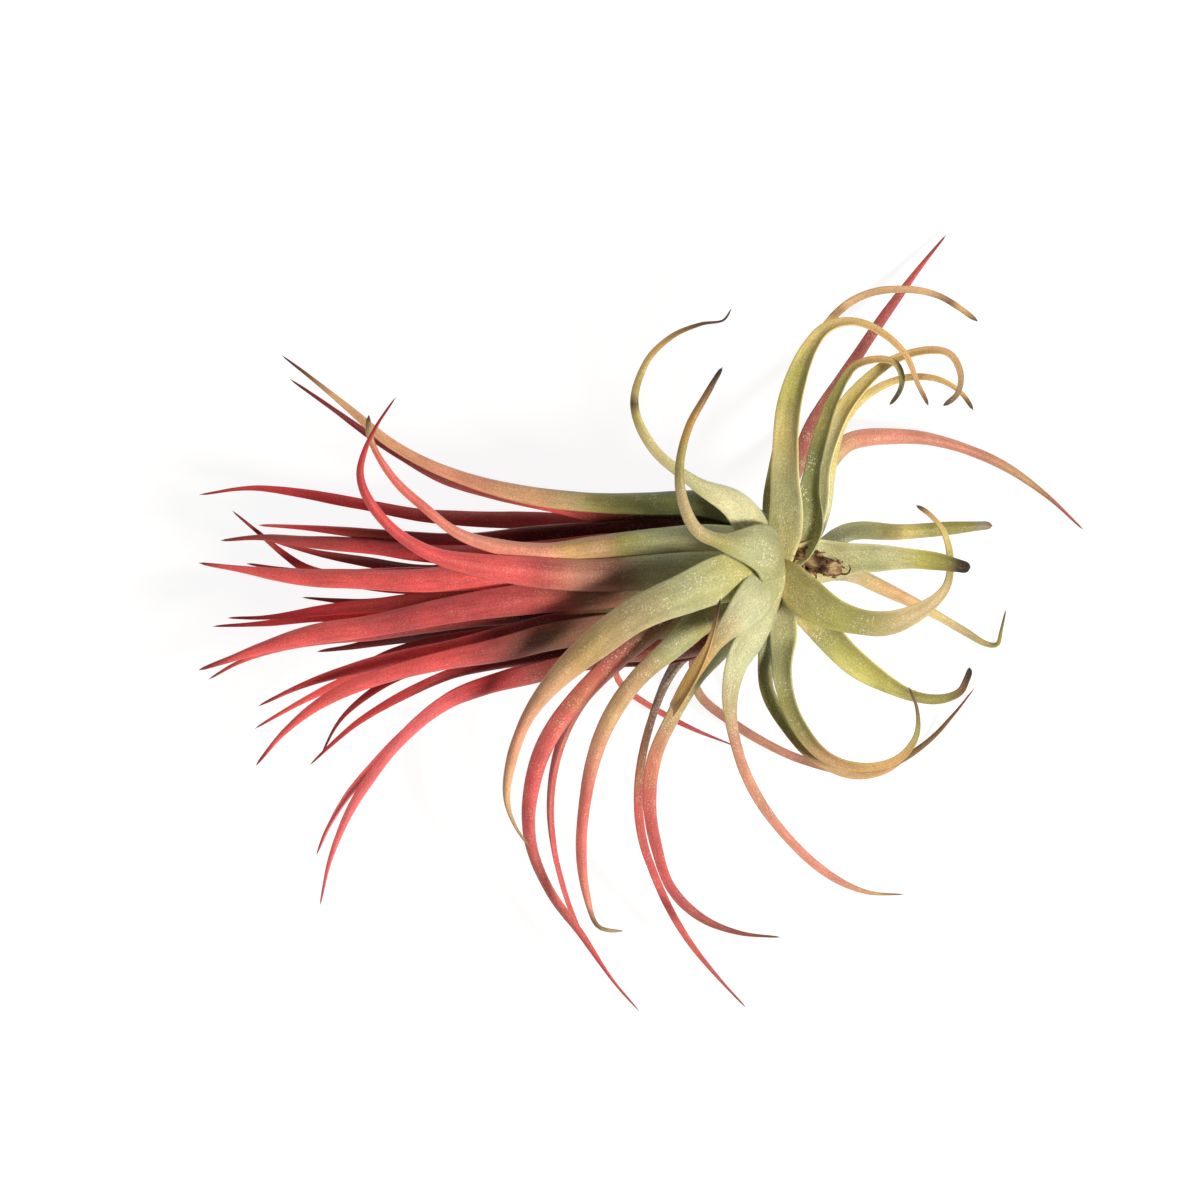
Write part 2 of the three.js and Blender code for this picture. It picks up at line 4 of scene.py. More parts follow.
import bpy
import numpy as np
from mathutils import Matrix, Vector


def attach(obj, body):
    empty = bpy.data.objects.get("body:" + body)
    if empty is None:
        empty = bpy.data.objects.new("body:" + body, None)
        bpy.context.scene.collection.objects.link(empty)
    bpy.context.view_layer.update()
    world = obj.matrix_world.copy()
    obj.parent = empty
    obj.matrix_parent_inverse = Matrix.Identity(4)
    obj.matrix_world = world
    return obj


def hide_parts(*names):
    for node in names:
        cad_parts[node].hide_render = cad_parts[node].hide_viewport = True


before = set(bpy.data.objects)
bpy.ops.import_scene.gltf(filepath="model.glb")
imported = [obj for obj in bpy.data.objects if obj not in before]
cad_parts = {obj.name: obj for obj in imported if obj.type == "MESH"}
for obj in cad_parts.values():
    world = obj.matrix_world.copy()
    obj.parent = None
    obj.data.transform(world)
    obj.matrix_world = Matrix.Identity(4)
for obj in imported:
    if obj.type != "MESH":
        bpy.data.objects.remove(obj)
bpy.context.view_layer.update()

# A red air plant lying on its side, seen from straight above. Lengths are millimetres until
# a mesh is made, and metres there.
mm = 0.001
plantShift = Vector((18.5, 6.5, -0.9))  # from the plant's own axes to the frame's, in mm

# moss and maroon are the leaves' green and red darkened as painted shade, for sheath bases and low leaves that
# lie under others
palette = {
    "cream": "#ddd7a4", "silver": "#c9c899", "sage": "#aeae7c", "olive": "#978f4b", "moss": "#676a3a",
    "lime": "#c3bb60", "straw": "#dcc67a", "sand": "#bfa777", "gold": "#cda265", "honey": "#c0924a",
    "tan": "#bd9468", "apricot": "#deab7e", "blush": "#e59c7e", "peach": "#e39a7a", "pink": "#dd8b76",
    "rose": "#c4806c", "salmon": "#dd6f64", "flush": "#f07073", "coral": "#ec5f5e", "crimson": "#cb3f44",
    "brick": "#c74e50", "rust": "#a54848", "wine": "#862a28", "maroon": "#521816", "mauve": "#95604f",
    "bark": "#785232", "umber": "#3a281b", "ash": "#a39a86",
}


# sRGB hex to linear colour
def linear(hexColour):
    parts = [int(hexColour[i:i + 2], 16) / 255 for i in (1, 3, 5)]
    return (*(c / 12.92 if c <= 0.04045 else ((c + 0.055) / 1.055) ** 2.4 for c in parts), 1.0)


# gives a node's inputs their values and links
def setInputs(node, inputs):
    for key, value in inputs.items():
        for part in value if isinstance(value, list) else [value]:
            if isinstance(part, bpy.types.Node):
                part = next(socket for socket in part.outputs if socket.enabled)
            if isinstance(part, bpy.types.NodeSocket):
                node.id_data.links.new(part, node.inputs[key])
            else:
                node.inputs[key].default_value = part


# adds one node with its settings, its values and its links
def addNode(tree, kind, inputs=None, **settings):
    node = tree.nodes.new(kind)
    for name, value in settings.items():
        setattr(node, name, value)
    setInputs(node, inputs or {})
    return node


stem = {
    "base": Vector((4, 0.5, 36.8)),
    "heading": Vector((-1, -0.05, -0.2)).normalized(),
    "length": 31,
    "baseRadius": 3.0,
    "topRadius": 1.0,
    "star": Vector((-0.3, -0.1, 38.5)),  # where the high outer leaves meet
    "starReach": 33,  # outer leaves that start higher than this meet there
    "starRadius": 0.4,  # distance from the star's middle to where its leaves start
    "crownFrom": (3.0, 20, 0.1),  # place of a crown sheath on the stem at this reach, and its growth
    "bulb": {0: 0.25, 0.3: 0.78, 0.62: 0.97},  # swelling of the crown sheaths at shares of the way out
    "rings": 60,
    "sides": 36,
    "ends": (0.9, 0.0105, 0.04),  # where the rounding starts, its squared length and the least squared radius
    "ridges": (0.03, 11, 0.6),  # depth, number round the stem and twist a ring
    "scars": (0.25, 9, 6),  # old leaf scars: depth in mm, number and sharpness
}

# Old outer leaves, round the plant from its upper edge to its lower one, in the order of their
# nodes. A row is the place on the stem, the widths of sheath, blade and late blade, the tip, the
# colours along the leaf in percent, and the points of its middle line. Stops in moss and
# maroon paint the shade where a leaf lies under others.
outerLeaves = [
    (7.5, (6.4, 1.6, 0.9), "hair",
     "0 silver 25 cream 36 cream 57 straw 60 bark 63 straw 78 gold 88 bark 100 umber", (-6, 9, 42),
     (-11.5, 12, 43), (-17, 16.5, 42), (-19.5, 22, 41), (-18.1, 27.3, 42), (-14.8, 30.8, 44),
     (-11, 32.5, 46), (-8, 33, 47), (-7, 34.5, 48)),
    (5.2, (7.4, 1.9, 1.2), "blunt",
     "26 sage 36 olive 46 sand 56 sand 66 olive 80 honey 92 bark 98 umber 100 umber", (-2.4, 3.3, 45),
     (-8, 4.3, 50), (-11.5, 6, 53), (-13.3, 10, 54), (-13.6, 14.5, 54), (-12.4, 19.3, 53), (-10.4, 23, 52),
     (-8.2, 26.9, 51)),
    (4.8, (4.4, 2.4, 1.3), "blunt",
     "22 olive 38 straw 46 straw 56 gold 70 tan 86 tan 92 bark 95 gold 100 umber", (-1.5, 9, 32.6),
     (-0.7, 15.5, 34), (1.1, 23.3, 36), (3.5, 29.2, 37), (7.1, 34.3, 37), (11, 36.5, 36), (15.5, 37, 35),
     (19.9, 36.2, 33), (25, 33, 31)),
    (4.2, (5.2, 3.7, 1.1), "blunt",
     "0 straw 20 cream 34 straw 50 lime 60 straw 76 gold 88 gold 95 tan 98 bark 100 umber",
     (0.3, 8.5, 41.5), (0.2, 15, 45.5), (0.8, 22, 48), (3.1, 29, 49), (5.5, 32, 49), (9, 32.7, 48),
     (12.5, 31.3, 47), (15.5, 28.5, 46), (17, 25, 45), (18.5, 22, 44)),
    (2.8, (4.8, 2.4, 1.1), "blunt",
     "15 sage 26 moss 40 moss 50 olive 65 olive 78 gold 88 olive 95 umber 100 umber", (3.5, 6, 40.5),
     (3.5, 11, 42), (4.5, 17, 43), (6.5, 23, 43.5), (9, 27, 43.5), (12.4, 27.9, 43.5), (14.3, 27.3, 43),
     (15.1, 25.5, 42.5), (14.7, 23.7, 42), (13.5, 22, 41.5)),
    (2.2, (3.8, 2.6, 1.2), "blunt", "0 sage 25 cream 38 cream 50 straw 60 straw 76 gold 88 tan 100 umber",
     (4, 8, 36), (5, 14.5, 36), (7.5, 21, 37), (10.8, 25.2, 38), (14.5, 28, 39), (19, 29.1, 39),
     (21.5, 28.5, 38), (22.7, 26, 38), (22.3, 23.6, 38), (20.5, 22, 38)),
    (3.1, (3.6, 1.8, 1.1), "blunt", "0 sage 25 silver 40 straw 62 straw 80 gold 94 gold 97 bark 100 umber",
     (5, 8, 30.5), (6, 13.5, 30), (7.5, 19.5, 29), (11, 23.5, 29), (15.5, 25.5, 29), (19.5, 25.5, 29),
     (22.5, 24, 29), (24.5, 21.5, 29)),
    (11, (3.6, 2.7, 1.7), "sharp", "25 wine 40 rust 80 rust 92 brick 100 wine", (0.5, 11, 22),
     (3.8, 19.1, 16), (8.2, 26.2, 11), (13.2, 33.7, 7), (17.9, 40.3, 4), (21.2, 44.45, 2.5)),
    (5.6, (3.6, 2.8, 1.4), "sharp", "25 silver 40 sand 48 pink 56 pink 74 rose 86 tan 95 rust 100 wine",
     (3.5, 10, 18), (6, 14.5, 13), (8.9, 17.3, 10), (14.5, 18, 7), (20, 17.5, 5), (28.1, 14.6, 3),
     (34.1, 10.6, 1.5), (39.2, 5.9, 1)),
    (0.5, (3.8, 2.4, 1.9), "blunt", "45 sage 60 straw 72 olive 90 olive 96 ash 100 bark", (8.5, 5.5, 28),
     (15, 5.5, 27), (21.5, 6, 26), (27, 6.5, 26)),
    (0.5, (6, 3.9, 2.6), "blunt",
     "0 straw 15 cream 30 cream 46 silver 58 cream 72 lime 86 olive 94 umber 100 umber", (5.4, 2.1, 39.4),
     (9.5, 2.4, 41), (14.5, 2.4, 42.5), (19.2, 2, 43.5), (24, 1, 44)),
    (1.2, (6.4, 3.7, 1.1), "blunt",
     "0 sand 14 straw 26 lime 38 olive 52 sand 66 sand 76 olive 86 straw 95 gold 98 bark 100 umber",
     (3, -2.5, 42), (7, -5, 44), (12.5, -6, 44), (17.5, -4.4, 42.5), (20.7, -1.6, 41), (21.3, 2, 39.5),
     (20.5, 5.5, 38.5), (19, 7.5, 38), (17, 9, 37.5)),
    (1.8, (3.2, 2.1, 1.1), "hair", "25 sand 45 gold 58 apricot 66 straw 76 sand 90 olive 100 umber",
     (8, 0.5, 22), (13, -1.6, 14), (19, -4.6, 8), (24, -7.5, 3), (26.6, -9, 1.2), (27.8, -9.1, 1.5),
     (28.4, -7.1, 3), (29, -4.5, 5)),
    (2, (5.2, 4.1, 1.5), "blunt",
     "18 straw 28 olive 40 lime 58 lime 70 olive 82 olive 90 bark 96 umber 100 umber", (4, -5.5, 36),
     (7.8, -9.8, 34), (12, -13.1, 32), (16.7, -15.6, 31), (20.1, -16, 31), (22.6, -15.1, 32),
     (23.5, -13.5, 33), (24, -12, 34)),
    (5.8, (4.2, 2.3, 1.2), "hair",
     "0 sage 14 cream 27 silver 36 olive 46 olive 56 tan 66 gold 78 gold 86 olive 92 bark 100 umber",
     (0, -8, 35.3), (-0.1, -13.7, 38), (1.6, -19, 37), (5.5, -23.6, 36), (10.4, -24.9, 36),
     (14.6, -23.8, 36), (16.9, -21, 37), (17.1, -17.6, 38), (16, -14.5, 39)),
    # moss at the base of this leaf is painted shade
    (7.6, (4.6, 2.8, 2), "blunt", "26 moss 40 olive 54 olive 66 tan 92 tan 97 bark 100 umber",
     (-2.2, -8.5, 33), (-2.2, -14.5, 33), (0.2, -19, 32), (4, -23.5, 31), (9, -25.6, 30), (13, -25.1, 30),
     (16, -23, 30)),
    (2.9, (5.6, 1.7, 1.3), "sharp",
     "24 silver 31 sand 38 rose 48 pink 56 rose 64 pink 84 rose 93 tan 98 bark 100 umber",
     (-3.8, -7.6, 40.3), (-6, -11.5, 43.5), (-7, -17, 44), (-5.8, -23.6, 42), (-2.9, -29.7, 38),
     (1.9, -35.6, 33), (6.9, -39.6, 28), (11, -41.3, 25), (15.5, -41.6, 22)),
    (7.9, (6.6, 2.3, 1.4), "hair", "25 silver 34 sand 44 honey 75 honey 88 gold 94 bark 98 umber 100 umber",
     (-5, -4.5, 47), (-9, -9, 53), (-12.5, -14, 58), (-14.5, -17.5, 61), (-13.5, -16, 64),
     (-11, -11.5, 64.5), (-9.5, -7.5, 64.5), (-8.5, -3, 64)),
    (9, (4.4, 2.5, 1.5), "sharp",
     "18 silver 26 olive 35 tan 44 salmon 55 brick 68 brick 80 rust 93 wine 100 umber", (-6.5, -8, 37.5),
     (-11.1, -13, 39), (-14.2, -18.1, 38), (-16.6, -23.3, 36), (-17.4, -29, 33), (-16.6, -35, 29),
     (-14.7, -40.6, 25), (-10.6, -44.7, 21), (-5.5, -46.7, 18), (-0.5, -47.2, 16)),
    (10, (3.4, 1.8, 1.2), "sharp", "25 maroon 42 wine 54 brick 85 brick 96 rust 100 wine",
     (-10.5, -8.5, 30), (-13.5, -11, 28), (-16, -15, 26), (-18, -21, 23), (-19, -27.5, 20),
     (-18.5, -34, 17), (-16.5, -40, 14), (-13.5, -46, 10), (-9.5, -51.5, 6), (-5, -56.5, 3)),
    (10.9, (4.6, 2.5, 1.5), "dry",
     "20 olive 27 sage 34 tan 46 apricot 54 peach 64 salmon 80 salmon 90 pink 94 bark 97 sand 100 ash",
     (-9.5, -5, 42), (-14.5, -9.5, 43), (-18.8, -13.3, 42), (-22.4, -18.3, 40), (-24.6, -23.5, 37),
     (-25.9, -29.5, 34), (-26.4, -35.5, 31), (-25.8, -41.5, 28), (-24.3, -45.7, 26), (-22.9, -46.2, 26),
     (-21, -46.3, 26)),
    (9.7, (6.4, 4.5, 1.5), "sharp",
     "0 straw 10 lime 26 sage 38 sand 50 gold 60 apricot 72 peach 86 apricot 95 tan 100 bark",
     (-8, -0.5, 47), (-13, -2.5, 50), (-19.2, -5.2, 50), (-24.5, -9, 49), (-29.3, -13.2, 47),
     (-33.4, -18.4, 44), (-35.5, -23.8, 41), (-36.2, -29, 38), (-35.2, -32.4, 36), (-33, -35.7, 35)),
    (12.3, (3.8, 2.8, 1.2), "sharp",
     "15 maroon 23 rust 32 coral 44 coral 60 brick 80 brick 92 crimson 100 wine", (-14.5, -5.5, 39),
     (-19.8, -9.3, 39), (-24.4, -13.6, 37), (-28.9, -18.8, 34), (-31.9, -24.3, 29), (-33.2, -30.5, 26),
     (-32.9, -35.5, 23), (-30.5, -41.3, 19), (-26.3, -47.1, 14), (-22.4, -52.9, 10), (-18.9, -57, 7)),
    (12, (2.8, 1.7, 1.3), "sharp", "0 wine 25 rust 50 brick 90 brick 100 wine", (-17.5, -8.5, 27),
     (-23, -13, 25), (-26.7, -17.1, 23), (-29.3, -22.6, 21), (-30.4, -28.4, 19), (-30.3, -34, 17),
     (-29, -40.2, 14), (-26.5, -46.8, 11), (-22.4, -52.8, 8)),
    (8, (3, 1.4, 1.2), "sharp", "28 rust 40 rose 55 rose 66 mauve 76 tan 84 bark 92 bark 100 wine",
     (-11, -9, 14), (-12, -12.5, 10), (-10.8, -15.8, 7), (-7.5, -18.6, 5), (-2.7, -21.7, 3),
     (2.9, -24.2, 1.6), (9, -25.5, 0.9), (14.5, -24.4, 1.2), (18.8, -21.7, 2), (22.4, -17.9, 4),
     (24.9, -14.7, 6)),
    (13.1, (2.6, 1.1, 0.9), "sharp", "0 wine 40 rust 65 brick 90 brick 100 wine", (-19, -9, 16),
     (-22, -12, 13), (-21, -14.5, 10), (-17.5, -17, 8), (-12, -20, 5), (-6, -22.5, 3)),
]

# Young red leaves of the crown, from the upper edge of the tuft to the lower one. Their stops in
# maroon and moss, and wine part way along, paint the shade in the deep gaps of the
# tuft and under the leaves above.
crownLeaves = [
    # moss at the base of this leaf paints the shade there
    (14, (4.8, 3.3, 1.6), "sharp",
     "28 moss 36 olive 41 sand 47 apricot 53 apricot 58 blush 88 apricot 95 bark 100 umber",
     (-17.5, 9.6, 35), (-24, 9.7, 34.5), (-32, 10.5, 33), (-39.5, 12.1, 31.5), (-45.9, 14.4, 30),
     (-51.4, 17.4, 29), (-56.2, 21.4, 28), (-61, 25.2, 27), (-65.5, 28.6, 26)),
    (17, (3.6, 2.4, 1.5), "sharp", "18 moss 27 bark 36 wine 46 coral 56 rust 75 rust 88 crimson 100 maroon",
     (-23, 7.8, 31), (-30.4, 9.3, 30), (-38.4, 10.9, 27.5), (-44.8, 12.8, 26), (-49.8, 15.6, 25),
     (-54.3, 18.5, 24), (-59, 21.8, 23), (-64.4, 25.5, 22)),
    (14.5, (3.6, 2.7, 1.7), "sharp", "20 moss 28 bark 36 rust 60 rust 70 crimson 92 crimson 100 wine",
     (-24, 6.9, 25.5), (-32, 7.3, 24), (-39.5, 7.5, 22), (-47.5, 8, 20), (-55, 9.4, 18), (-63, 10.8, 17),
     (-69.5, 11.4, 16), (-76.3, 10.5, 15)),
    (13, (5, 3.4, 1.4), "blunt",
     "15 silver 29 sage 35 olive 39 tan 46 gold 50 blush 58 pink 69 pink 78 salmon 92 salmon 96 sand 100 umber",
     (-17.5, 4.4, 39), (-24, 3.8, 39.3), (-31, 3, 40.2), (-37.5, 3.9, 41.2), (-42.4, 5.5, 43),
     (-46.7, 8.8, 44), (-50.6, 12.4, 45), (-52.9, 15.8, 46), (-53.9, 18.4, 47), (-54, 20.7, 47)),
    (14.5, (5, 4.2, 1.4), "sharp",
     "0 silver 26 sage 31 mauve 38 rose 44 brick 50 coral 90 crimson 100 wine", (-19, 0.3, 40.6),
     (-25.5, 0, 41), (-32, 0.4, 42), (-39, 1.2, 43), (-45.5, 2.6, 44), (-50.5, 5.6, 45), (-54, 9.7, 46.5),
     (-55.1, 13, 48), (-54.5, 16, 49), (-52.9, 19.4, 50), (-50.5, 23, 50.5)),
    (21.5, (3.6, 3.3, 2), "sharp", "0 moss 16 bark 26 maroon 50 maroon 62 rust 74 wine 100 crimson",
     (-24, 6, 30), (-32, 5.6, 30), (-41, 4.8, 29), (-50, 5.2, 28), (-58, 5.9, 27), (-63.5, 6.3, 26),
     (-68.5, 6.5, 25)),
    (24, (3.2, 2.6, 1.7), "sharp", "0 rust 25 coral 40 crimson 75 crimson 100 wine", (-24, 0, 27),
     (-32, -0.5, 26), (-41, -1, 24.5), (-50, -1.5, 23), (-56.5, -0.7, 22), (-62, 0.7, 21.5), (-65, 2.6, 21),
     (-68, 5.1, 21), (-72, 8.4, 21)),
    (19, (4, 4, 2.4), "sharp", "0 sage 16 rust 40 crimson 55 coral 65 crimson 90 rust 100 wine",
     (-24, 4.1, 33.5), (-32, 3.3, 33), (-39.5, 2.9, 32), (-47.5, 3.2, 30), (-55, 4.1, 28), (-63, 4.6, 26),
     (-68, 5, 24), (-73.5, 4.5, 22)),
    (18.8, (4.4, 4.2, 2.6), "sharp", "10 sage 18 rust 25 coral 95 coral 100 wine", (-24, 1, 36.4),
     (-32, 0.6, 36.4), (-39.5, 0.1, 36), (-47.5, -0.6, 34.5), (-56.5, -0.4, 32), (-63, -0.2, 30),
     (-69.5, 0.6, 28), (-76.3, 1.6, 26)),
    (20.3, (3, 2.6, 1.7), "sharp", "50 maroon 80 wine 100 wine", (-24, -2, 22.2), (-32, -2.5, 20.5),
     (-39.5, -3.1, 19), (-47.5, -3.2, 16), (-54, -3.7, 13), (-59, -3.3, 10), (-63, -2.9, 8)),
    (26.5, (3.6, 2.8, 1.8), "sharp", "0 rust 40 crimson 55 rust 85 crimson 100 wine", (-24, -2, 28.5),
     (-32, -2.5, 28), (-39.5, -3, 27.5), (-47.5, -3.5, 25), (-54, -4.1, 23), (-60.5, -4.7, 21),
     (-67, -5.5, 19.5), (-72.6, -5.6, 18)),
    (22.5, (3.6, 2.8, 1.8), "sharp", "0 wine 30 crimson 45 coral 92 coral 100 wine", (-24, -2.3, 24.5),
     (-32, -4, 22.5), (-39.5, -4.5, 21), (-47.5, -5, 19.3), (-54, -5.3, 17.6), (-60.5, -5.4, 17),
     (-67.5, -6.3, 15.5), (-74.6, -6.7, 14)),
    (16.6, (5, 4.1, 2.8), "sharp", "22 sage 29 mauve 34 mauve 39 brick 66 brick 74 coral 92 coral 100 wine",
     (-19, -1.5, 38), (-24, -2.4, 38.6), (-30.5, -2.9, 38.6), (-38.5, -3.8, 38), (-46, -5.1, 37),
     (-54, -6.7, 35), (-62, -7.9, 33), (-67.9, -9.5, 31), (-72.9, -11.2, 29.5), (-76.3, -12.4, 28)),
    (23, (3.8, 3.2, 1.8), "sharp", "40 maroon 52 wine 66 rust 78 crimson 92 coral 100 wine",
     (-24, -4.5, 34.4), (-32, -5.1, 33.5), (-39.5, -5.7, 32), (-47.5, -6.9, 30), (-54, -7.9, 28.5),
     (-60.5, -8.5, 27), (-67, -9.9, 25.5), (-71.7, -11.7, 24), (-75, -13.6, 23)),
    (20, (3.4, 3.4, 2.2), "sharp", "75 maroon 92 wine 100 wine", (-24, -5.3, 27), (-32, -6, 26),
     (-39.5, -7, 24), (-47.5, -7.9, 21), (-52.5, -8.7, 18), (-57, -9.5, 16), (-61, -10, 14)),
    # from 20 to 54 percent, moss, bark and wine paint the shade of the dark gap beside crown_leaf_13
    (19, (4, 3.6, 2), "sharp", "0 sage 20 moss 34 bark 42 wine 54 wine 60 coral 95 crimson 100 wine",
     (-24, -6, 36.5), (-30.5, -7, 36.2), (-37, -8.4, 35), (-43.5, -9.8, 33.8), (-50, -10.9, 32.2),
     (-56.5, -12.5, 30.5), (-63, -14.5, 29), (-68.6, -17.1, 28)),
    (22, (3.8, 3.6, 2.1), "sharp", "0 bark 30 maroon 46 crimson 62 wine 85 wine 100 crimson",
     (-24, -6.5, 30), (-32, -7.1, 28.5), (-39.5, -8.1, 27.5), (-46, -9, 25), (-51.5, -10.3, 23),
     (-55, -11.8, 21.5), (-58, -13.5, 20)),
    (20.5, (3.6, 3, 1.8), "sharp", "0 sage 18 bark 32 rust 48 coral 95 coral 100 wine", (-24, -7.5, 33),
     (-30.5, -8, 32.5), (-37, -8.9, 32), (-43.4, -10.1, 30.3), (-50, -11.8, 28.5), (-56.5, -13.7, 27),
     (-63, -16.6, 25.5), (-69, -20, 24)),
    (15.5, (4.6, 4, 2.2), "sharp", "0 sage 20 sand 30 mauve 44 mauve 52 rust 60 coral 95 coral 100 wine",
     (-21.5, -7, 37.5), (-25.5, -7.5, 38), (-31, -8.5, 38.5), (-37, -10, 38), (-43.5, -11.2, 37),
     (-50, -12.7, 35.5), (-56.9, -15, 34), (-61.4, -17.5, 33), (-65.3, -20.7, 32), (-68.8, -24.8, 31)),
    (17, (3.2, 2.4, 1.4), "sharp", "0 bark 40 maroon 60 wine 85 crimson 100 wine", (-24, -9, 25.5),
     (-30.5, -10, 25.5), (-37, -10.5, 25), (-43.5, -11.5, 24.5), (-49.5, -13, 24), (-54, -15.5, 24),
     (-58, -19.1, 22), (-60.4, -23.5, 20)),
    (16.5, (3.6, 2.8, 1.6), "sharp", "0 bark 35 maroon 60 wine 90 crimson 100 wine", (-24, -9.8, 32),
     (-30.5, -10.7, 32), (-37, -11.6, 31.5), (-43.6, -13.1, 30.5), (-50.2, -16.1, 29.5), (-55.3, -19.1, 28),
     (-58.9, -22, 27), (-61.8, -24.7, 26)),
    (14, (3.4, 3, 1.9), "sharp", "0 bark 34 wine 45 crimson 57 flush 95 flush 100 crimson",
     (-24, -11.3, 27.5), (-30.5, -12.3, 27), (-37, -13.9, 26.5), (-43, -16, 26), (-48.1, -19.9, 25.5),
     (-52.7, -24.3, 24), (-57, -29, 22.5), (-59.5, -33, 21), (-61, -36.5, 20)),
    # wine from 20 to 36 percent paints the shadow that falls near this leaf's base
    (13.5, (4, 3.4, 1.7), "sharp",
     "0 bark 20 wine 36 wine 44 rust 52 crimson 62 flush 95 flush 100 crimson", (-23, -10.5, 34.5),
     (-28, -12, 35.5), (-33.2, -13.3, 35), (-38.8, -14.7, 34.5), (-44, -16.8, 33.5), (-49.4, -21.1, 32),
     (-53.3, -25.8, 30.5), (-56.6, -31, 29), (-59.1, -37, 27.5), (-60.5, -43, 26)),
    (24, (3.4, 2.8, 1.7), "sharp", "0 rust 40 crimson 55 wine 70 maroon 85 wine 100 crimson",
     (-24, 2, 29.6), (-32, 1.5, 28.8), (-39.5, 0.9, 28), (-47.5, 0.8, 26), (-54, 1.8, 24.5),
     (-60.5, 2.9, 23), (-65, 4, 22), (-68.5, 5.1, 21.5)),
    (22.5, (3.4, 2.8, 1.8), "sharp", "0 rust 30 coral 48 crimson 70 crimson 80 coral 95 coral 100 wine",
     (-24, 1.2, 32.6), (-32, 1.5, 33), (-39.5, 0.5, 32), (-50, 0.4, 30), (-58, 0.2, 28), (-64.5, 0.7, 26.5),
     (-70, 1.5, 25)),
]

# Under leaves: the plant lies on these. Three are young red leaves and three are old ones.
underWidths = (3, 2.4, 1.6)
underTones = {"red": "0 maroon 40 wine 75 crimson 100 wine",
              "green": "0 moss 30 olive 60 straw 85 gold 95 bark 100 umber"}
underLeaves = [
    ("red", 17.2, (-24, -3, 20), (-32, -3.5, 14), (-41, -4, 9), (-50, -4.5, 4), (-56.5, -5, 1.2),
     (-60.5, -5.5, 0.8)),
    ("red", 15, (-23, 1.5, 20), (-30.5, 2, 15), (-39.5, 2.5, 9), (-47.5, 3, 4), (-54, 3.5, 1.2),
     (-58.5, 4, 0.8)),
    ("red", 15.1, (-23, -6.8, 20), (-29, -8.5, 15), (-37, -10, 9), (-43.5, -11.5, 4), (-49.5, -13, 1.2),
     (-53.5, -15, 0.8)),
    ("green", 3.5, (6.5, 2, 20), (10.5, 2, 12), (15, 2, 6), (19, 2, 2), (21.5, 1.5, 0.8)),
    ("green", 7, (-0.5, 7, 20), (0, 12.5, 11), (0.5, 17.5, 4), (0.5, 22, 1), (1, 24.5, 0.8)),
    ("green", 5, (-3, -6.5, 18), (-5, -11, 9), (-6.5, -16, 3), (-6, -21.5, 0.9), (-5.5, -24, 0.8)),
]

leaf = {
    "rootDepth": 0.3,  # where a low leaf starts, as a share of the stem's radius
    "rootWidth": 0.9,  # per sheath width
    "starWidth": 0.42,  # the same where a leaf starts at the star
    # width of each tip per late width, and its wobble, which is more where it shrivels
    "tips": {"sharp": (0.2, 0.16), "hair": (0.25, 0.16), "dry": (0.35, 0.5), "blunt": (0.6, 0.5)},
    "widthPlaces": (0, 0.12, 0.4, 0.75, 1),  # shares of the length where each width is reached
    "thicknessPlaces": (0, 0.3, 1),
    "thickest": 0.85,  # per width
    "sheathChannel": 0.16,  # depth of the channel, per width
    "channelPlaces": (0, 0.15, 0.5),
    "channelMiddle": -0.3,  # how far the middle of the channel lies under the path, per depth
    "pointFrom": 0.965,  # the last part closes to a rounded point
    "lowTurn": (0.5, 4),  # turn of a low leaf's flat side away from upright, and how soon it is full
    "skyTurn": 2.0,  # turn to the sky of a leaf that leaves the star on the root side
    "crownTurn": 0.8,  # the same for the crown
    "aheadReach": 25,  # the channel faces this far up the stem
    "pathPoints": 90,
    "wobbleLength": 6,
    "shrivelPlaces": (0.86, 0.97),
    "seed": 7,
    # the same for every leaf, with channels per width and wobble in mm
    "inputs": {"Sheath thickness": 1.3 * mm, "Blade thickness": 0.9 * mm, "Tip thickness": 0.4 * mm,
               "Root channel": 0.16, "Blade channel": 0.3, "Wobble": 0.16, "Sides": 20, "Rings": 110},
}
# leaves that start beside the star: where, root width per sheath width, and turn to the sky
rootsApart = {"outer_leaf_11": ((1.6, 1.8, 38.4), 0.85, 3.0), "outer_leaf_12": ((-0.9, 0.8, 37.4), 0.6, 1.2)}
channels = {"outer_leaf_05": 0.42, "outer_leaf_04": 0.1, "outer_leaf_22": 0.1}  # sheath channels that differ
coats = {"outer": (1.0, 1.0), "inner": (0.3, 0.12)}  # shares of the grey bloom and of the leaf scales
dust = {
    "radius": 0.075,  # a leaf scale is nearly a fifth of a millimetre across
    "height": 0.4,  # per radius
    "sides": 5,
    "density": 9.0,  # scales on a square millimetre of sheath
    "places": (0, 0.1, 0.35, 1),
    "shares": (1.0, 1.0, 0.35, 0.05),  # of the density, at these shares of the length
    "end": (0.7, 0.8),  # no scales past this
    "patchSize": 2.5,
    "patches": (0.4, 0.62, 0.3, 2.2),  # from sparse to thick patches
    "lean": 0.45,  # radians
    "sizes": (0.5, 1.2),
    "pale": (0.35, "#f3ecc9"),  # share over the tone of the leaf below
}


# smooth value at "place" through values that hold at the given places
def smoothSteps(add, place, places, values):
    value = values[-1]
    for start, end, low in reversed(list(zip(places, places[1:], values))):
        value = add("ShaderNodeMapRange", {0: place, 1: start, 2: end, 3: low, 4: value},
                    interpolation_type="SMOOTHSTEP")
    return value


# a random shift to all sides, from noise
def unevenShift(add, place, scale, detail, amount):
    noise = add("ShaderNodeTexNoise", {"Vector": place, "Scale": scale, "Detail": detail})
    centred = add("ShaderNodeVectorMath", {0: noise.outputs["Color"], 1: (0.5, 0.5, 0.5)},
                  operation="SUBTRACT")
    return add("ShaderNodeVectorMath", {0: centred, 3: amount}, operation="SCALE")


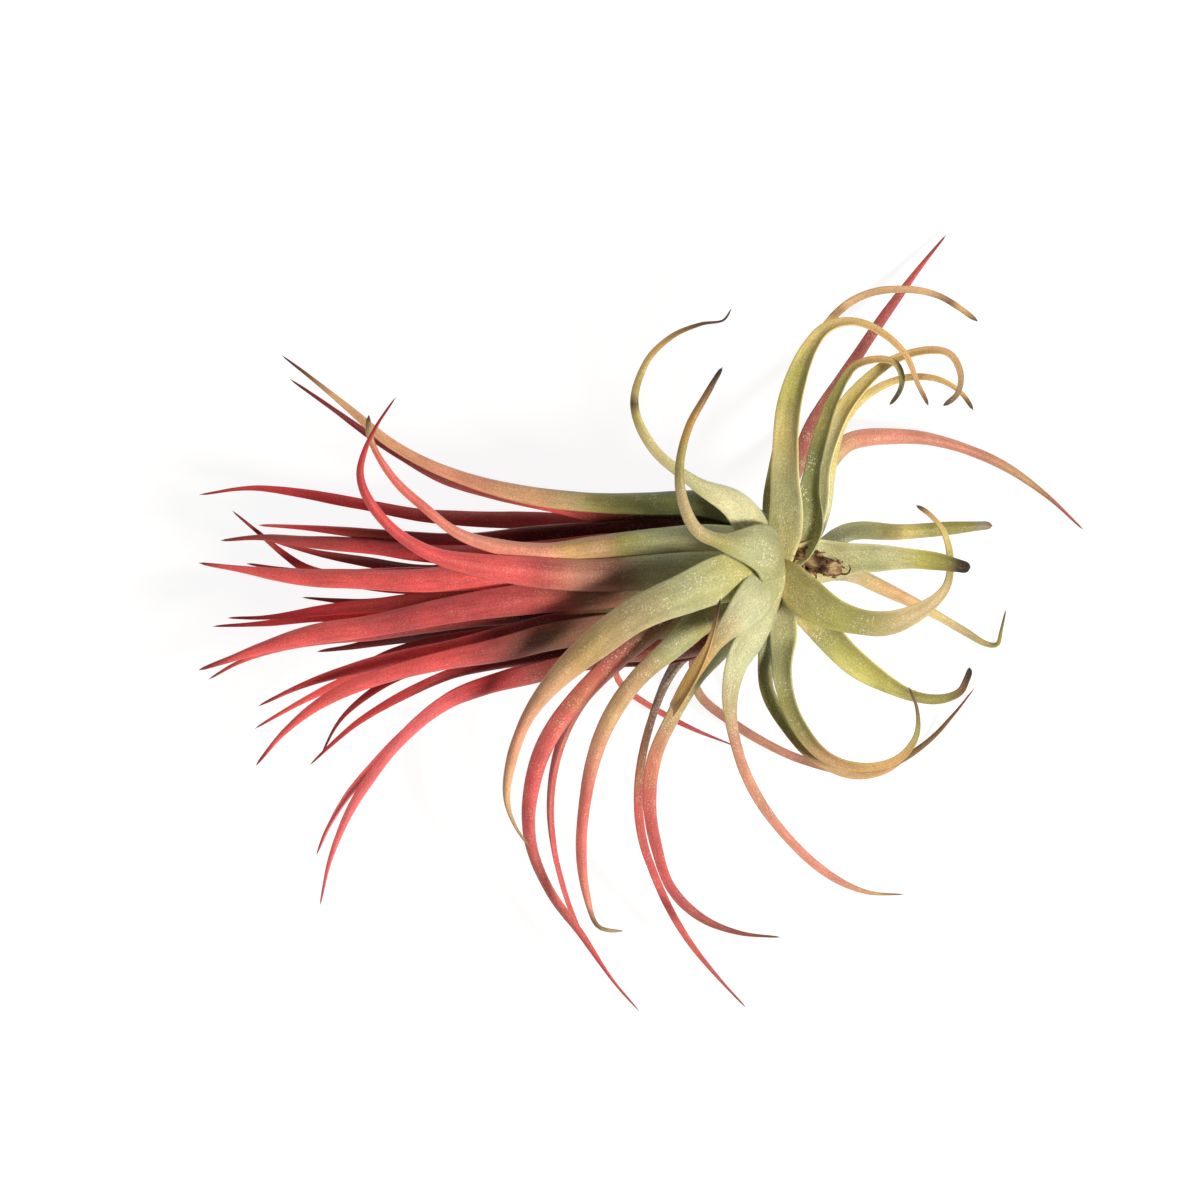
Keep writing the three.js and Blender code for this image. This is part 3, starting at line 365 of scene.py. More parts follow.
# real copies of a shape on the ground's faces, each turned and leaning by up to lean radians at random
def scatter(add, ground, density, seed, shape, lean, leanSeed, size):
    spots = add("GeometryNodeDistributePointsOnFaces", {0: ground, 4: density, 6: seed},
                distribute_method="RANDOM")
    tilt = add("FunctionNodeRandomValue", {
        0: (-lean, -lean, 0.0), 1: (lean, lean, 6.28), 8: leanSeed}, data_type="FLOAT_VECTOR")
    tilt = add("FunctionNodeEulerToRotation", {0: tilt})
    turned = add("FunctionNodeRotateRotation", {0: spots.outputs["Rotation"], 1: tilt},
                 rotation_space="LOCAL")
    copies = add("GeometryNodeInstanceOnPoints", {0: spots.outputs["Points"], 2: shape, 5: turned, 6: size})
    return add("GeometryNodeRealizeInstances", {0: copies})


# a Geometry Nodes tree with one shape in, named inputs and one shape out
def newTree(name, shape, inputs, result):
    tree = bpy.data.node_groups.new(name, "GeometryNodeTree")
    for socket, kind in {shape: "Geometry", **inputs}.items():
        tree.interface.new_socket(socket, in_out="INPUT", socket_type="NodeSocket" + kind)
    tree.interface.new_socket(result, in_out="OUTPUT", socket_type="NodeSocketGeometry")
    add = partial(addNode, tree)
    return tree, add, add("NodeGroupInput").outputs


bladeInputs = dict.fromkeys((
    "Root width", "Sheath width", "Blade width", "Late width", "Tip width", "Sheath thickness",
    "Blade thickness", "Tip thickness", "Root channel", "Sheath channel", "Blade channel", "Wobble",
    "Shrivel", "Scale radius", "Scale density"), "Float")
bladeInputs.update({"Sides": "Int", "Rings": "Int", "Seed": "Int", "Skin": "Material", "Scales": "Material"})


# Sweeps a tapered, channelled blade along the object's path and scatters leaf scales on it.
def makeBladeTree():
    tree, add, given = newTree("leafBlade", "Path", bladeInputs, "Leaf")
    curve = add("GeometryNodeMeshToCurve", {0: given["Path"]})
    length = add("GeometryNodeCurveLength", {0: curve})
    tube = add("GeometryNodeMeshCylinder",
               {0: given["Sides"], 1: given["Rings"], 3: 1.0, 4: 2.0}, fill_type="TRIANGLE_FAN")
    position = add("GeometryNodeInputPosition")
    rest = add("ShaderNodeSeparateXYZ", {0: position}).outputs
    place = add("ShaderNodeMath", {0: rest[2], 1: 0.5, 2: 0.5}, operation="MULTIPLY_ADD")
    restPlace = add("ShaderNodeCombineXYZ", {0: rest[0], 1: place, 2: rest[1]})
    shaped = add("GeometryNodeStoreNamedAttribute",
                 {0: tube, 2: "restPlace", 3: restPlace},
                 data_type="FLOAT_VECTOR", domain="POINT")
    named = add("GeometryNodeInputNamedAttribute", {0: "restPlace"}, data_type="FLOAT_VECTOR")
    across, along, face = add("ShaderNodeSeparateXYZ", {0: named}).outputs

    width = smoothSteps(add, along, leaf["widthPlaces"], [
        given[part + " width"] for part in ("Root", "Sheath", "Blade", "Late", "Tip")])
    thickness = smoothSteps(add, along, leaf["thicknessPlaces"], [
        given[part + " thickness"] for part in ("Sheath", "Blade", "Tip")])
    channel = smoothSteps(add, along, leaf["channelPlaces"], [
        given[part + " channel"] for part in ("Root", "Sheath", "Blade")])
    late = add("ShaderNodeMapRange", {0: along, 1: leaf["pointFrom"], 2: 1.0})
    squared = add("ShaderNodeMath", {0: late, 1: late}, operation="MULTIPLY")
    closing = add("ShaderNodeMath", {0: 1.0, 1: squared}, operation="SUBTRACT")
    closing = add("ShaderNodeMath", {0: closing}, operation="SQRT")
    # uneven growth, from noise that is as long as it is wide
    lengthways = add("ShaderNodeMath", {0: length, 1: 1 / (leaf["wobbleLength"] * mm)}, operation="MULTIPLY")
    lengthways = add("ShaderNodeMath", {0: along, 1: lengthways}, operation="MULTIPLY")
    noisePlace = add("ShaderNodeCombineXYZ", {0: across, 1: lengthways, 2: given["Seed"]})
    start, end = leaf["shrivelPlaces"]
    uneven = add("ShaderNodeMapRange", {0: along, 1: start, 2: end, 3: given["Wobble"], 4: given["Shrivel"]})
    uneven = add("ShaderNodeMath", {0: uneven, 1: mm}, operation="MULTIPLY")
    shift = unevenShift(add, noisePlace, 1.0, 2.0, uneven)
    shift = add("ShaderNodeSeparateXYZ", {0: shift}).outputs

    narrowed = add("ShaderNodeMath", {0: width, 1: closing}, operation="MULTIPLY")
    half = add("ShaderNodeMath", {0: narrowed, 1: 0.5}, operation="MULTIPLY")
    sideways = add("ShaderNodeMath", {0: across, 1: half, 2: shift[1]}, operation="MULTIPLY_ADD")
    thickest = add("ShaderNodeMath", {0: narrowed, 1: leaf["thickest"]}, operation="MULTIPLY")
    thinned = add("ShaderNodeMath", {0: thickness, 1: closing}, operation="MULTIPLY")
    thinned = add("ShaderNodeMath", {0: thinned, 1: thickest}, operation="MINIMUM")
    halfThick = add("ShaderNodeMath", {0: thinned, 1: 0.5}, operation="MULTIPLY")
    trough = add("ShaderNodeMath", {0: across, 1: across, 2: leaf["channelMiddle"]}, operation="MULTIPLY_ADD")
    depth = add("ShaderNodeMath", {0: narrowed, 1: channel}, operation="MULTIPLY")
    height = add("ShaderNodeMath", {0: trough, 1: depth, 2: shift[0]}, operation="MULTIPLY_ADD")
    height = add("ShaderNodeMath", {0: face, 1: halfThick, 2: height}, operation="MULTIPLY_ADD")

    faceUp = add("GeometryNodeInputNamedAttribute", {0: "faceUp"}, data_type="FLOAT_VECTOR")
    spot = add("GeometryNodeSampleCurve", {0: curve, 1: faceUp, 2: along},
               data_type="FLOAT_VECTOR", mode="FACTOR", use_all_curves=True).outputs
    side = add("ShaderNodeVectorMath", {0: spot[0], 1: spot[2]}, operation="CROSS_PRODUCT")
    side = add("ShaderNodeVectorMath", {0: side}, operation="NORMALIZE")
    up = add("ShaderNodeVectorMath", {0: spot[2], 1: side}, operation="CROSS_PRODUCT")
    placed = spot[1]
    for heading, distance in ((up, height), (side, sideways)):
        step = add("ShaderNodeVectorMath", {0: heading, 3: distance}, operation="SCALE")
        placed = add("ShaderNodeVectorMath", {0: placed, 1: step}, operation="ADD")
    blade = add("GeometryNodeSetPosition", {0: shaped, 2: placed})
    blade = add("GeometryNodeSetShadeSmooth", {0: blade, 2: True})
    # the place on the leaf in millimetres, with its two faces well apart, for the skin's patterns
    wide = add("ShaderNodeMath", {0: across, 1: half}, operation="MULTIPLY")
    far = add("ShaderNodeMath", {0: along, 1: length}, operation="MULTIPLY")
    thick = add("ShaderNodeMath", {0: face, 1: 3 * mm}, operation="MULTIPLY")
    leafPlace = add("ShaderNodeVectorMath", {
        0: add("ShaderNodeCombineXYZ", {0: wide, 1: far, 2: thick}), 3: 1 / mm}, operation="SCALE")
    blade = add("GeometryNodeStoreNamedAttribute",
                {0: blade, 2: "leafPlace", 3: leafPlace},
                data_type="FLOAT_VECTOR", domain="POINT")

    # leaf scales: tiny low cones, thick on the sheath and sparse further out
    low, high, sparse, dense = dust["patches"]
    patches = add("ShaderNodeTexNoise", {
        "Vector": position, "Scale": 1 / (dust["patchSize"] * mm), "Detail": 2.0})
    patches = add("ShaderNodeMapRange", {0: patches, 1: low, 2: high, 3: sparse, 4: dense})
    start, end = dust["end"]
    ending = add("ShaderNodeMapRange", {0: along, 1: start, 2: end, 3: 1.0, 4: 0.0})
    density = smoothSteps(add, along, dust["places"], dust["shares"])
    for share in (ending, given["Scale density"], patches):
        density = add("ShaderNodeMath", {0: density, 1: share}, operation="MULTIPLY")
    size = add("FunctionNodeRandomValue", {2: dust["sizes"][0], 3: dust["sizes"][1], 8: 5}, data_type="FLOAT")
    tall = add("ShaderNodeMath", {0: given["Scale radius"], 1: dust["height"]}, operation="MULTIPLY")
    cone = add("GeometryNodeMeshCone", {0: dust["sides"], 3: 0.0, 4: given["Scale radius"], 5: tall},
               fill_type="TRIANGLE_FAN")
    scales = scatter(add, blade, density, given["Seed"], cone, dust["lean"], 3, size)
    scales = add("GeometryNodeSetMaterial", {0: scales, 2: given["Scales"]})
    blade = add("GeometryNodeSetMaterial", {0: blade, 2: given["Skin"]})
    # pressed flat on the surface below
    above = add("ShaderNodeVectorMath", {0: position, 1: (-9.0, -9.0, 0.0)}, operation="MAXIMUM")
    both = add("GeometryNodeJoinGeometry", {0: [scales, blade]})
    flat = add("GeometryNodeSetPosition", {0: both, 2: above})
    add("NodeGroupOutput", {0: flat})
    return tree


# a Principled material whose sockets hold the given values
def newMaterial(name, values):
    material = bpy.data.materials.new(name)
    material.use_nodes = True
    shader = material.node_tree.nodes["Principled BSDF"]
    setInputs(shader, values)
    return material, partial(addNode, material.node_tree), shader


leafLook = {
    # size in mm, share that it is squeezed by along the leaf, and detail
    "noises": {"veins": (0.35, 0.05, 2.0), "mottle": (1.6, 0.45, 4.0), "grain": (0.2, 1.0, 1.0),
               "patches": (4.0, 0.45, 3.0), "clusters": (2.4, 1.0, 3.0)},
    "shades": {"veins": (0.88, 1.1), "mottle": (0.85, 1.12), "grain": (0.8, 1.2)},  # darkest and lightest
    # how much the leaf rims are lightened: a painted highlight along the edges
    "edgeShine": 0.22,
    "patch": "#9a9c48",  # yellow green where the grey coat is thin
    "patchShare": 0.5,
    "patchEdge": (0.42, 0.62),
    "scaleSize": 0.26,  # drawn a little coarse, so that it shows
    "frost": "#f8f2d2",  # golden white of the scales in the light
    "frostShare": 0.85,
    "frostEdge": (0.46, 0.6, 0.15, 2.0),  # from bare to frosted clusters
    "veil": "#cfd0b4",
    "veilShare": 0.14,
    "coat": {0: 1, 0.1: 1, 0.3: 0.75, 0.5: 0.35, 1: 0.12},  # grey coat at shares of the length
    "rim": 0.75,  # share of the half width where the painted highlight along the edge starts
    "relief": 0.05 * mm,
    "shader": {"Roughness": 0.58, "IOR": 1.42, "Subsurface Weight": 0.15,
               "Subsurface Radius": (1.0, 0.4, 0.2), "Subsurface Scale": 0.6 * mm, "Sheen Weight": 0.12,
               "Sheen Roughness": 0.4},
}


# Tillandsia leaf skin: thin waxy tissue under a coat of grey scales, so it is dull with a pale bloom.
def makeLeafSkin():
    material, add, shader = newMaterial("livingTillandsiaLeaf", leafLook["shader"])
    place, tone, bloom, edge = (
        add("ShaderNodeAttribute", attribute_name=name).outputs[output] for name, output in (
            ("leafPlace", "Vector"), ("tone", "Color"), ("bloom", "Fac"), ("edge", "Fac")))
    noise = {}
    for name, (size, squeeze, detail) in leafLook["noises"].items():
        squeezed = add("ShaderNodeVectorMath", {0: place, 1: (1.0, squeeze, 1.0)}, operation="MULTIPLY")
        noise[name] = add("ShaderNodeTexNoise", {"Vector": squeezed, "Scale": 1 / size, "Detail": detail})

    # veins, mottle and grain lighten or darken the leaf's own tone, and the pale edge is a painted highlight
    # along the rims
    shade = add("ShaderNodeMath", {0: edge, 1: leafLook["edgeShine"], 2: 1.0}, operation="MULTIPLY_ADD")
    for name, (darkest, lightest) in leafLook["shades"].items():
        share = add("ShaderNodeMapRange", {0: noise[name], 1: 0.3, 2: 0.7, 3: darkest, 4: lightest})
        shade = add("ShaderNodeMath", {0: shade, 1: share}, operation="MULTIPLY")
    low, high = leafLook["patchEdge"]
    patches = add("ShaderNodeMapRange", {0: noise["patches"], 1: low, 2: high, 4: leafLook["patchShare"]})
    patches = add("ShaderNodeMath", {0: patches, 1: bloom}, operation="MULTIPLY")
    patched = add("ShaderNodeMix", {0: patches, 6: tone, 7: linear(leafLook["patch"])}, data_type="RGBA")
    body = add("ShaderNodeVectorMath", {0: patched.outputs[2], 3: shade}, operation="SCALE")
    veil = add("ShaderNodeMath", {0: bloom, 1: leafLook["veilShare"]}, operation="MULTIPLY")

    # frost: single scales that catch the light, each its own strength, in clusters
    cells = add("ShaderNodeTexVoronoi", {"Vector": place, "Scale": 1 / leafLook["scaleSize"]}, feature="F1")
    speck = add("ShaderNodeMapRange", {0: cells.outputs["Distance"], 1: 0.2, 2: 0.5, 3: 1.0, 4: 0.0})
    pick = add("ShaderNodeSeparateColor", {0: cells.outputs["Color"]}).outputs[0]
    frost = add("ShaderNodeMapRange", {0: pick, 1: 0.2, 2: 1.0, 4: leafLook["frostShare"]})
    low, high, bare, full = leafLook["frostEdge"]
    clusters = add("ShaderNodeMapRange", {0: noise["clusters"], 1: low, 2: high, 3: bare, 4: full})
    for share in (clusters, speck, bloom):
        frost = add("ShaderNodeMath", {0: frost, 1: share}, operation="MULTIPLY")
    colour = body
    for share, name in ((veil, "veil"), (frost, "frost")):
        colour = add("ShaderNodeMix", {0: share, 6: colour, 7: linear(leafLook[name])},
                     data_type="RGBA").outputs[2]
    relief = add("ShaderNodeMath", {0: noise["veins"], 1: 0.8, 2: frost}, operation="MULTIPLY_ADD")
    bump = add("ShaderNodeBump", {"Height": relief, "Strength": 0.6, "Distance": leafLook["relief"]})
    setInputs(shader, {"Base Color": colour, "Normal": bump})
    return material


# Trichomes: dead, air-filled scales that look like silver dust.
def makeScaleSkin():
    material, add, shader = newMaterial("silverTrichome", {"Roughness": 0.4})
    tone = add("ShaderNodeAttribute", attribute_name="tone").outputs["Color"]
    share, colour = dust["pale"]
    pale = add("ShaderNodeMix", {0: share, 6: tone, 7: linear(colour)}, data_type="RGBA")
    setInputs(shader, {"Base Color": pale.outputs[2]})
    return material


wood = {
    "fibre": (0.3, 0.12),  # mm apart, and squeeze along the stem
    "blotch": 1.5,
    "stops": {0.34: "#3a2216", 0.46: "#7a5436", 0.56: "#ad8a5f", 0.68: "#d2bb8e"},
    "shades": (0.55, 1.15),
    "relief": 0.12 * mm,
}


# Dead Tillandsia wood and papery sheath scraps: dry brown fibre, dull, with darker cracks.
def makeDryWood():
    material, add, shader = newMaterial("dryFibrousWood", {"Roughness": 0.85})
    place = add("ShaderNodeTexCoord").outputs["Object"]
    apart, squeeze = wood["fibre"]
    squeezed = add("ShaderNodeVectorMath", {0: place, 1: (squeeze, 1.0, 1.0)}, operation="MULTIPLY")
    fibres = add("ShaderNodeTexNoise", {"Vector": squeezed, "Scale": 1 / (apart * mm), "Detail": 3.0})
    blotches = add("ShaderNodeTexNoise", {"Vector": place, "Scale": 1 / (wood["blotch"] * mm), "Detail": 3.0})
    ramp = add("ShaderNodeValToRGB", {0: blotches})
    for spot, colour in wood["stops"].items():
        ramp.color_ramp.elements.new(spot).color = linear(colour)
    for end in (0, -1):
        ramp.color_ramp.elements.remove(ramp.color_ramp.elements[end])
    shade = add("ShaderNodeMapRange", {0: fibres, 1: 0.3, 2: 0.7, 3: wood["shades"][0], 4: wood["shades"][1]})
    body = add("ShaderNodeVectorMath", {0: ramp, 3: shade}, operation="SCALE")
    bump = add("ShaderNodeBump", {"Height": fibres, "Strength": 0.8, "Distance": wood["relief"]})
    setInputs(shader, {"Base Color": body, "Normal": bump})
    return material


def stemPoint(along):
    return stem["base"] + stem["heading"] * along


def stemRadius(along):
    return stem["baseRadius"] + (stem["topRadius"] - stem["baseRadius"]) * along / stem["length"]


# even steps along a smooth curve that passes through the points
def smoothPath(points, count):
    points = np.array(points, float)
    ends = np.vstack([2 * points[0] - points[1], points, 2 * points[-1] - points[-2]])
    t = np.linspace(0, 1, 40, endpoint=False)[:, None]
    fine = []
    for a, b, c, d in zip(ends, ends[1:], ends[2:], ends[3:]):
        ab, bc, cd = (np.linalg.norm(v) ** 0.5 for v in (b - a, c - b, d - c))
        leave = ((b - a) / ab - (c - a) / (ab + bc) + (c - b) / bc) * bc
        arrive = ((c - b) / bc - (d - b) / (bc + cd) + (d - c) / cd) * bc
        fine.append(b + leave * t + (3 * (c - b) - 2 * leave - arrive) * t**2
                    + (2 * (b - c) + leave + arrive) * t**3)
    fine = np.vstack(fine + [points[-1:]])
    run = np.r_[0, np.cumsum(np.linalg.norm(np.diff(fine, axis=0), axis=1))]
    even = np.linspace(0, run[-1], count)
    return np.stack([np.interp(even, run, fine[:, k]) for k in range(3)], 1)


# the direction that a leaf's channel faces at each point, carried along without twist
def carriedUp(points, up, skyTurn):
    steps = [Vector(v).normalized() for v in np.gradient(points, axis=0)]
    most, ease = leaf["lowTurn"]
    ups = []
    before = steps[0]
    for heading in steps:
        up = before.rotation_difference(heading) @ up
        up = (up - heading * up.dot(heading)).normalized()
        before = heading
        turned = up + Vector((0, 0, skyTurn or most * math.tanh(ease * up.z)))
        ups.append((turned - heading * turned.dot(heading)).normalized())
    return ups


pieces = []  # (object, node, tones, bloom)


# an object from points and faces in the plant's own millimetres
def addObject(name, points, edges, faces):
    mesh = bpy.data.meshes.new(name)
    mesh.from_pydata([(Vector(p) + plantShift) * mm for p in points], edges, faces)
    piece = bpy.data.objects.new(name, mesh)
    bpy.context.scene.collection.objects.link(piece)
    return piece


# a path of edges that knows which way the channel faces
def addPath(name, points, up, skyTurn):
    piece = addObject(name, points, [(i, i + 1) for i in range(len(points) - 1)], [])
    piece.data.attributes.new("faceUp", "FLOAT_VECTOR", "POINT").data.foreach_set(
        "vector", np.ravel(carriedUp(points, up, skyTurn)))
    return piece


def addTree(piece, tree, sizes):
    modifier = piece.modifiers.new(tree.name, "NODES")
    modifier.node_group = tree
    for item in tree.interface.items_tree:
        if item.in_out == "INPUT" and item.name in sizes:
            modifier[item.identifier] = sizes[item.name]


# Where a leaf starts, its root width and its turn to the sky. High outer leaves meet at the
# star, and crown sheaths wrap the bulb.
def leafStart(name, at, way, crown):
    first = Vector(way[0])
    if crown:
        reach = (first - stem["base"]).dot(stem["heading"])
        offset = first - stemPoint(reach)
        lowest, usual, growth = stem["crownFrom"]
        low = lowest + (reach - usual) * growth
        start = [stemPoint(low + (reach - low) * share) + offset * swelling
                 for share, swelling in stem["bulb"].items()]
        return start, leaf["rootWidth"], math.copysign(leaf["crownTurn"], -offset.z)
    if name in rootsApart:
        root, share, skyTurn = rootsApart[name]
        return [Vector(root)], share, skyTurn
    if first.z > stem["starReach"]:
        towards = (first - stem["star"]).to_2d().normalized()
        skyTurn = leaf["skyTurn"] if first.x > stem["star"].x - 0.5 else 0
        return [stem["star"] + (towards * stem["starRadius"]).to_3d()], leaf["starWidth"], skyTurn
    centre = stemPoint(at)
    outward = first - centre
    outward = (outward - stem["heading"] * outward.dot(stem["heading"])).normalized()
    return [centre + outward * stemRadius(at) * leaf["rootDepth"]], leaf["rootWidth"], 0


def addLeaf(name, row, coat, crown):
    at, (sheath, blade, late), tip, tones, *way = row
    bloom, dusting = coats[coat]
    start, rootWidth, skyTurn = leafStart(name, at, way, crown)
    points = smoothPath([*start, *way], leaf["pathPoints"])
    heading = Vector(points[1] - points[0]).normalized()
    ahead = stemPoint(at + leaf["aheadReach"]) - start[0]
    up = (ahead - heading * ahead.dot(heading)).normalized()
    piece = addPath(name + "Fine", points, up, skyTurn)
    tipWidth, shrivel = leaf["tips"][tip]
    addTree(piece, bladeTree, {
        **leaf["inputs"], "Root width": sheath * rootWidth * mm, "Sheath width": sheath * mm,
        "Blade width": blade * mm, "Late width": late * mm, "Tip width": late * tipWidth * mm,
        "Shrivel": shrivel, "Sheath channel": channels.get(name, leaf["sheathChannel"]),
        "Scale radius": dust["radius"] * mm, "Scale density": dust["density"] / mm**2 * dusting,
        "Seed": leaf["seed"] + len(pieces), "Skin": leafSkin, "Scales": scaleSkin,
    })
    pieces.append((piece, name, tones, bloom))


# a closed rod through (centre, radius) rings, with a radius that an uneven() of turn and ring changes
def addRod(name, rings, sides, uneven):
    points = [centre + Vector((0, math.cos(turn), math.sin(turn))) * radius * uneven(turn, k)
              for k, (centre, radius) in enumerate(rings)
              for turn in (i * math.tau / sides for i in range(sides))]
    faces = [(k * sides + i, k * sides + (i + 1) % sides, (k + 1) * sides + (i + 1) % sides,
              (k + 1) * sides + i) for k in range(len(rings) - 1) for i in range(sides)]
    last = (len(rings) - 1) * sides
    faces += [tuple(reversed(range(sides))), tuple(range(last, last + sides))]
    piece = addObject(name, points, [], faces)
    if rings[-1][0].x < rings[0][0].x:
        piece.data.flip_normals()
    for face in piece.data.polygons:
        face.use_smooth = True
    return piece


# the short stem, ridged by fibres and ringed by old leaf scars
def addStem():
    start, square, least = stem["ends"]
    depth, count, sharpness = stem["scars"]
    ridge, ridges, twist = stem["ridges"]
    rings = []
    for k in range(stem["rings"]):
        share = k / (stem["rings"] - 1)
        rounding = math.sqrt(max(1 - max(abs(2 * share - 1) - start, 0) ** 2 / square, least))
        scar = abs(math.sin(share * math.pi * count)) ** sharpness * depth
        along = share * stem["length"]
        rings.append((stemPoint(along), (stemRadius(along) - scar) * rounding))
    piece = addRod("stemFine", rings, stem["sides"],
                   lambda turn, k: 1 + ridge * math.sin(ridges * turn + twist * k))
    piece.data.materials.append(dryWood)
    pieces.append((piece, "stem", None, 0))


stub = {
    "start": (1.4, 2.5, 39.6),
    "rings": [(0, 0, 0, 0.5), (0.9, -0.3, 0.3, 0.9), (2.4, -0.8, 0.7, 1.15), (4, -1.3, 1, 1.15),
              (5.2, -1.7, 1.2, 0.9), (6, -2, 1.3, 0.4)],  # out, across, up and radius
    "sides": 48,
    "ridges": [(0.16, 3, 1.7), (0.07, 8, 2.3)],  # depth, number round the stub and twist a ring
    "lumpSize": 1.3,  # mm
    "scrapEnd": 0.25,  # width of a scrap's end, per width
    "lean": 0.9,  # radians
    "leastScrap": (0.5, 0.5, 0.35),
    "largestScrap": (1.2, 1.2, 1.1),
    "crumpleSize": 1.1,
    "inputs": {"Roughness": 0.45 * mm, "Scrap density": 1.1 / mm**2, "Scrap width": 0.7 * mm,
               "Scrap length": 1.1 * mm, "Scrap thickness": 0.08 * mm, "Curl": 0.9,
               "Crumple": 0.9 * mm, "Seed": 4},
    "hair": [(6.9, 0.4, 40.8), (7.5, 0.1, 41.4), (8.1, 0.2, 41.8), (8.4, 0.8, 42.1), (8.2, 1.4, 42.2)],
    "hairWidth": 0.24,
    "hairRings": 40,
    "hairSides": 8,
}
stubInputs = dict.fromkeys(("Roughness", "Scrap density", "Scrap width", "Scrap length",
                            "Scrap thickness", "Curl", "Crumple"), "Float")
stubInputs.update({"Seed": "Int", "Skin": "Material"})


# Roughens the object's core and sets curled papery scraps on it.
def makeStubTree():
    tree, add, given = newTree("paperyScraps", "Core", stubInputs, "Stub")
    position = add("GeometryNodeInputPosition")
    lumps = unevenShift(add, position, 1 / (stub["lumpSize"] * mm), 3.0, given["Roughness"])
    fine = add("GeometryNodeSubdivideMesh", {0: given["Core"], 1: 2})
    core = add("GeometryNodeSetPosition", {0: fine, 3: lumps})

    # one scrap: a narrowing sheet that curls away from the core
    sheet = add("GeometryNodeMeshCube", {1: 3, 2: 8, 3: 2})
    flat = add("ShaderNodeSeparateXYZ", {0: position}).outputs
    away = add("ShaderNodeMath", {0: flat[1], 1: 0.5}, operation="ADD")
    narrowing = add("ShaderNodeMapRange", {0: away, 3: 1.0, 4: stub["scrapEnd"]})
    wide = flat[0]
    for share in (narrowing, given["Scrap width"]):
        wide = add("ShaderNodeMath", {0: wide, 1: share}, operation="MULTIPLY")
    out = add("ShaderNodeMath", {0: away, 1: given["Scrap length"]}, operation="MULTIPLY")
    bend = away
    for share in (away, given["Scrap length"], given["Curl"]):
        bend = add("ShaderNodeMath", {0: bend, 1: share}, operation="MULTIPLY")
    bend = add("ShaderNodeMath", {0: flat[2], 1: given["Scrap thickness"], 2: bend}, operation="MULTIPLY_ADD")
    bent = add("ShaderNodeCombineXYZ", {0: wide, 1: bend, 2: out})
    scrap = add("GeometryNodeSetPosition", {0: sheet, 2: bent})
    size = add("FunctionNodeRandomValue", {0: stub["leastScrap"], 1: stub["largestScrap"], 8: 6},
               data_type="FLOAT_VECTOR")
    scraps = scatter(add, core, given["Scrap density"], given["Seed"], scrap, stub["lean"], 2, size)
    folds = unevenShift(add, position, 1 / (stub["crumpleSize"] * mm), 1.0, given["Crumple"])
    scraps = add("GeometryNodeSetPosition", {0: scraps, 3: folds})
    both = add("GeometryNodeJoinGeometry", {0: [scraps, core]})
    skinned = add("GeometryNodeSetMaterial", {0: both, 2: given["Skin"]})
    add("NodeGroupOutput", {0: skinned})
    return tree


def addStub():
    start = Vector(stub["start"])
    rings = [(start + Vector(ring[:3]), ring[3]) for ring in stub["rings"]]
    piece = addRod("root_stubFine", rings, stub["sides"], lambda turn, k: 1 + sum(
        depth * math.sin(count * turn + twist * k) for depth, count, twist in stub["ridges"]))
    addTree(piece, makeStubTree(), {**stub["inputs"], "Skin": dryWood})
    pieces.append((piece, "root_stub", None, 0))
    # one dead root, as thin as a hair
    points = smoothPath(stub["hair"], stub["hairRings"])
    piece = addPath("root_stubHair", points, Vector((0, 0.3, 1)), 0)
    wide = stub["hairWidth"] * mm
    addTree(piece, bladeTree, {
        "Root width": wide * 2, "Sheath width": wide * 1.4, "Blade width": wide, "Late width": wide,
        "Tip width": wide / 2, "Sheath thickness": wide * 1.4, "Blade thickness": wide,
        "Tip thickness": wide / 2, "Sides": stub["hairSides"], "Rings": stub["hairRings"],
        "Wobble": 0.05, "Shrivel": 0.05, "Seed": 1, "Skin": dryWood, "Scales": dryWood})
    pieces.append((piece, "root_stub", None, 0))


# "0 sage 20 silver ..." to a linear colour at each place
def toneColours(tones, along):
    words = tones.split()
    stops = [float(w) / 100 for w in words[::2]]
    colours = np.array([linear(palette[w]) for w in words[1::2]])
    return np.stack([np.interp(along, stops, colours[:, k]) for k in range(4)], 1)


def paintLeaf(mesh, tones, bloom):
    rest = np.zeros(len(mesh.vertices) * 3, np.float32)
    mesh.attributes["restPlace"].data.foreach_get("vector", rest)
    across, along, _ = rest.reshape(-1, 3).T
    coat = bloom * np.interp(along, list(leafLook["coat"]), list(leafLook["coat"].values()))
    rim = np.clip((np.abs(across) - leafLook["rim"]) / (1 - leafLook["rim"]), 0, 1)
    for name, kind, field, values in (
            ("tone", "FLOAT_COLOR", "color", toneColours(tones, along)),
            ("bloom", "FLOAT", "value", coat), ("edge", "FLOAT", "value", rim)):
        mesh.attributes.new(name, kind, "POINT").data.foreach_set(field, values.astype(np.float32).ravel())


def finishPieces():
    graph = bpy.context.evaluated_depsgraph_get()
    meshes = [bpy.data.meshes.new_from_object(p.evaluated_get(graph)) for p, *_ in pieces]
    for (piece, node, tones, bloom), mesh in zip(pieces, meshes):
        piece.modifiers.clear()
        old = piece.data
        piece.data = mesh
        bpy.data.meshes.remove(old)
        if tones:
            paintLeaf(mesh, tones, bloom)
        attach(piece, "root")
        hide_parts(node)


stage = {
    "floorSize": 6.0,
    "floor": "#727271",  # dark in itself, so the glow leaves only a faint shadow
    "glow": 0.9,
    "worldColour": (0.93, 0.97, 1.0, 1.0),
    "worldLight": 0.14,
    "keyColour": (1.0, 0.95, 0.87),
    "keyPower": 12.2,
    "keySize": 0.2,
    "keyFrom": Vector((0.56, -0.2, 0.89)),  # from the right of the picture, in metres
}
camera = {
    "aim": Vector((-5.55, 3.25, 30)) * mm,
    "distance": 5.0,
    "pictureWidth": 156 * mm,  # at the aim
    "sensor": 36.0,
}


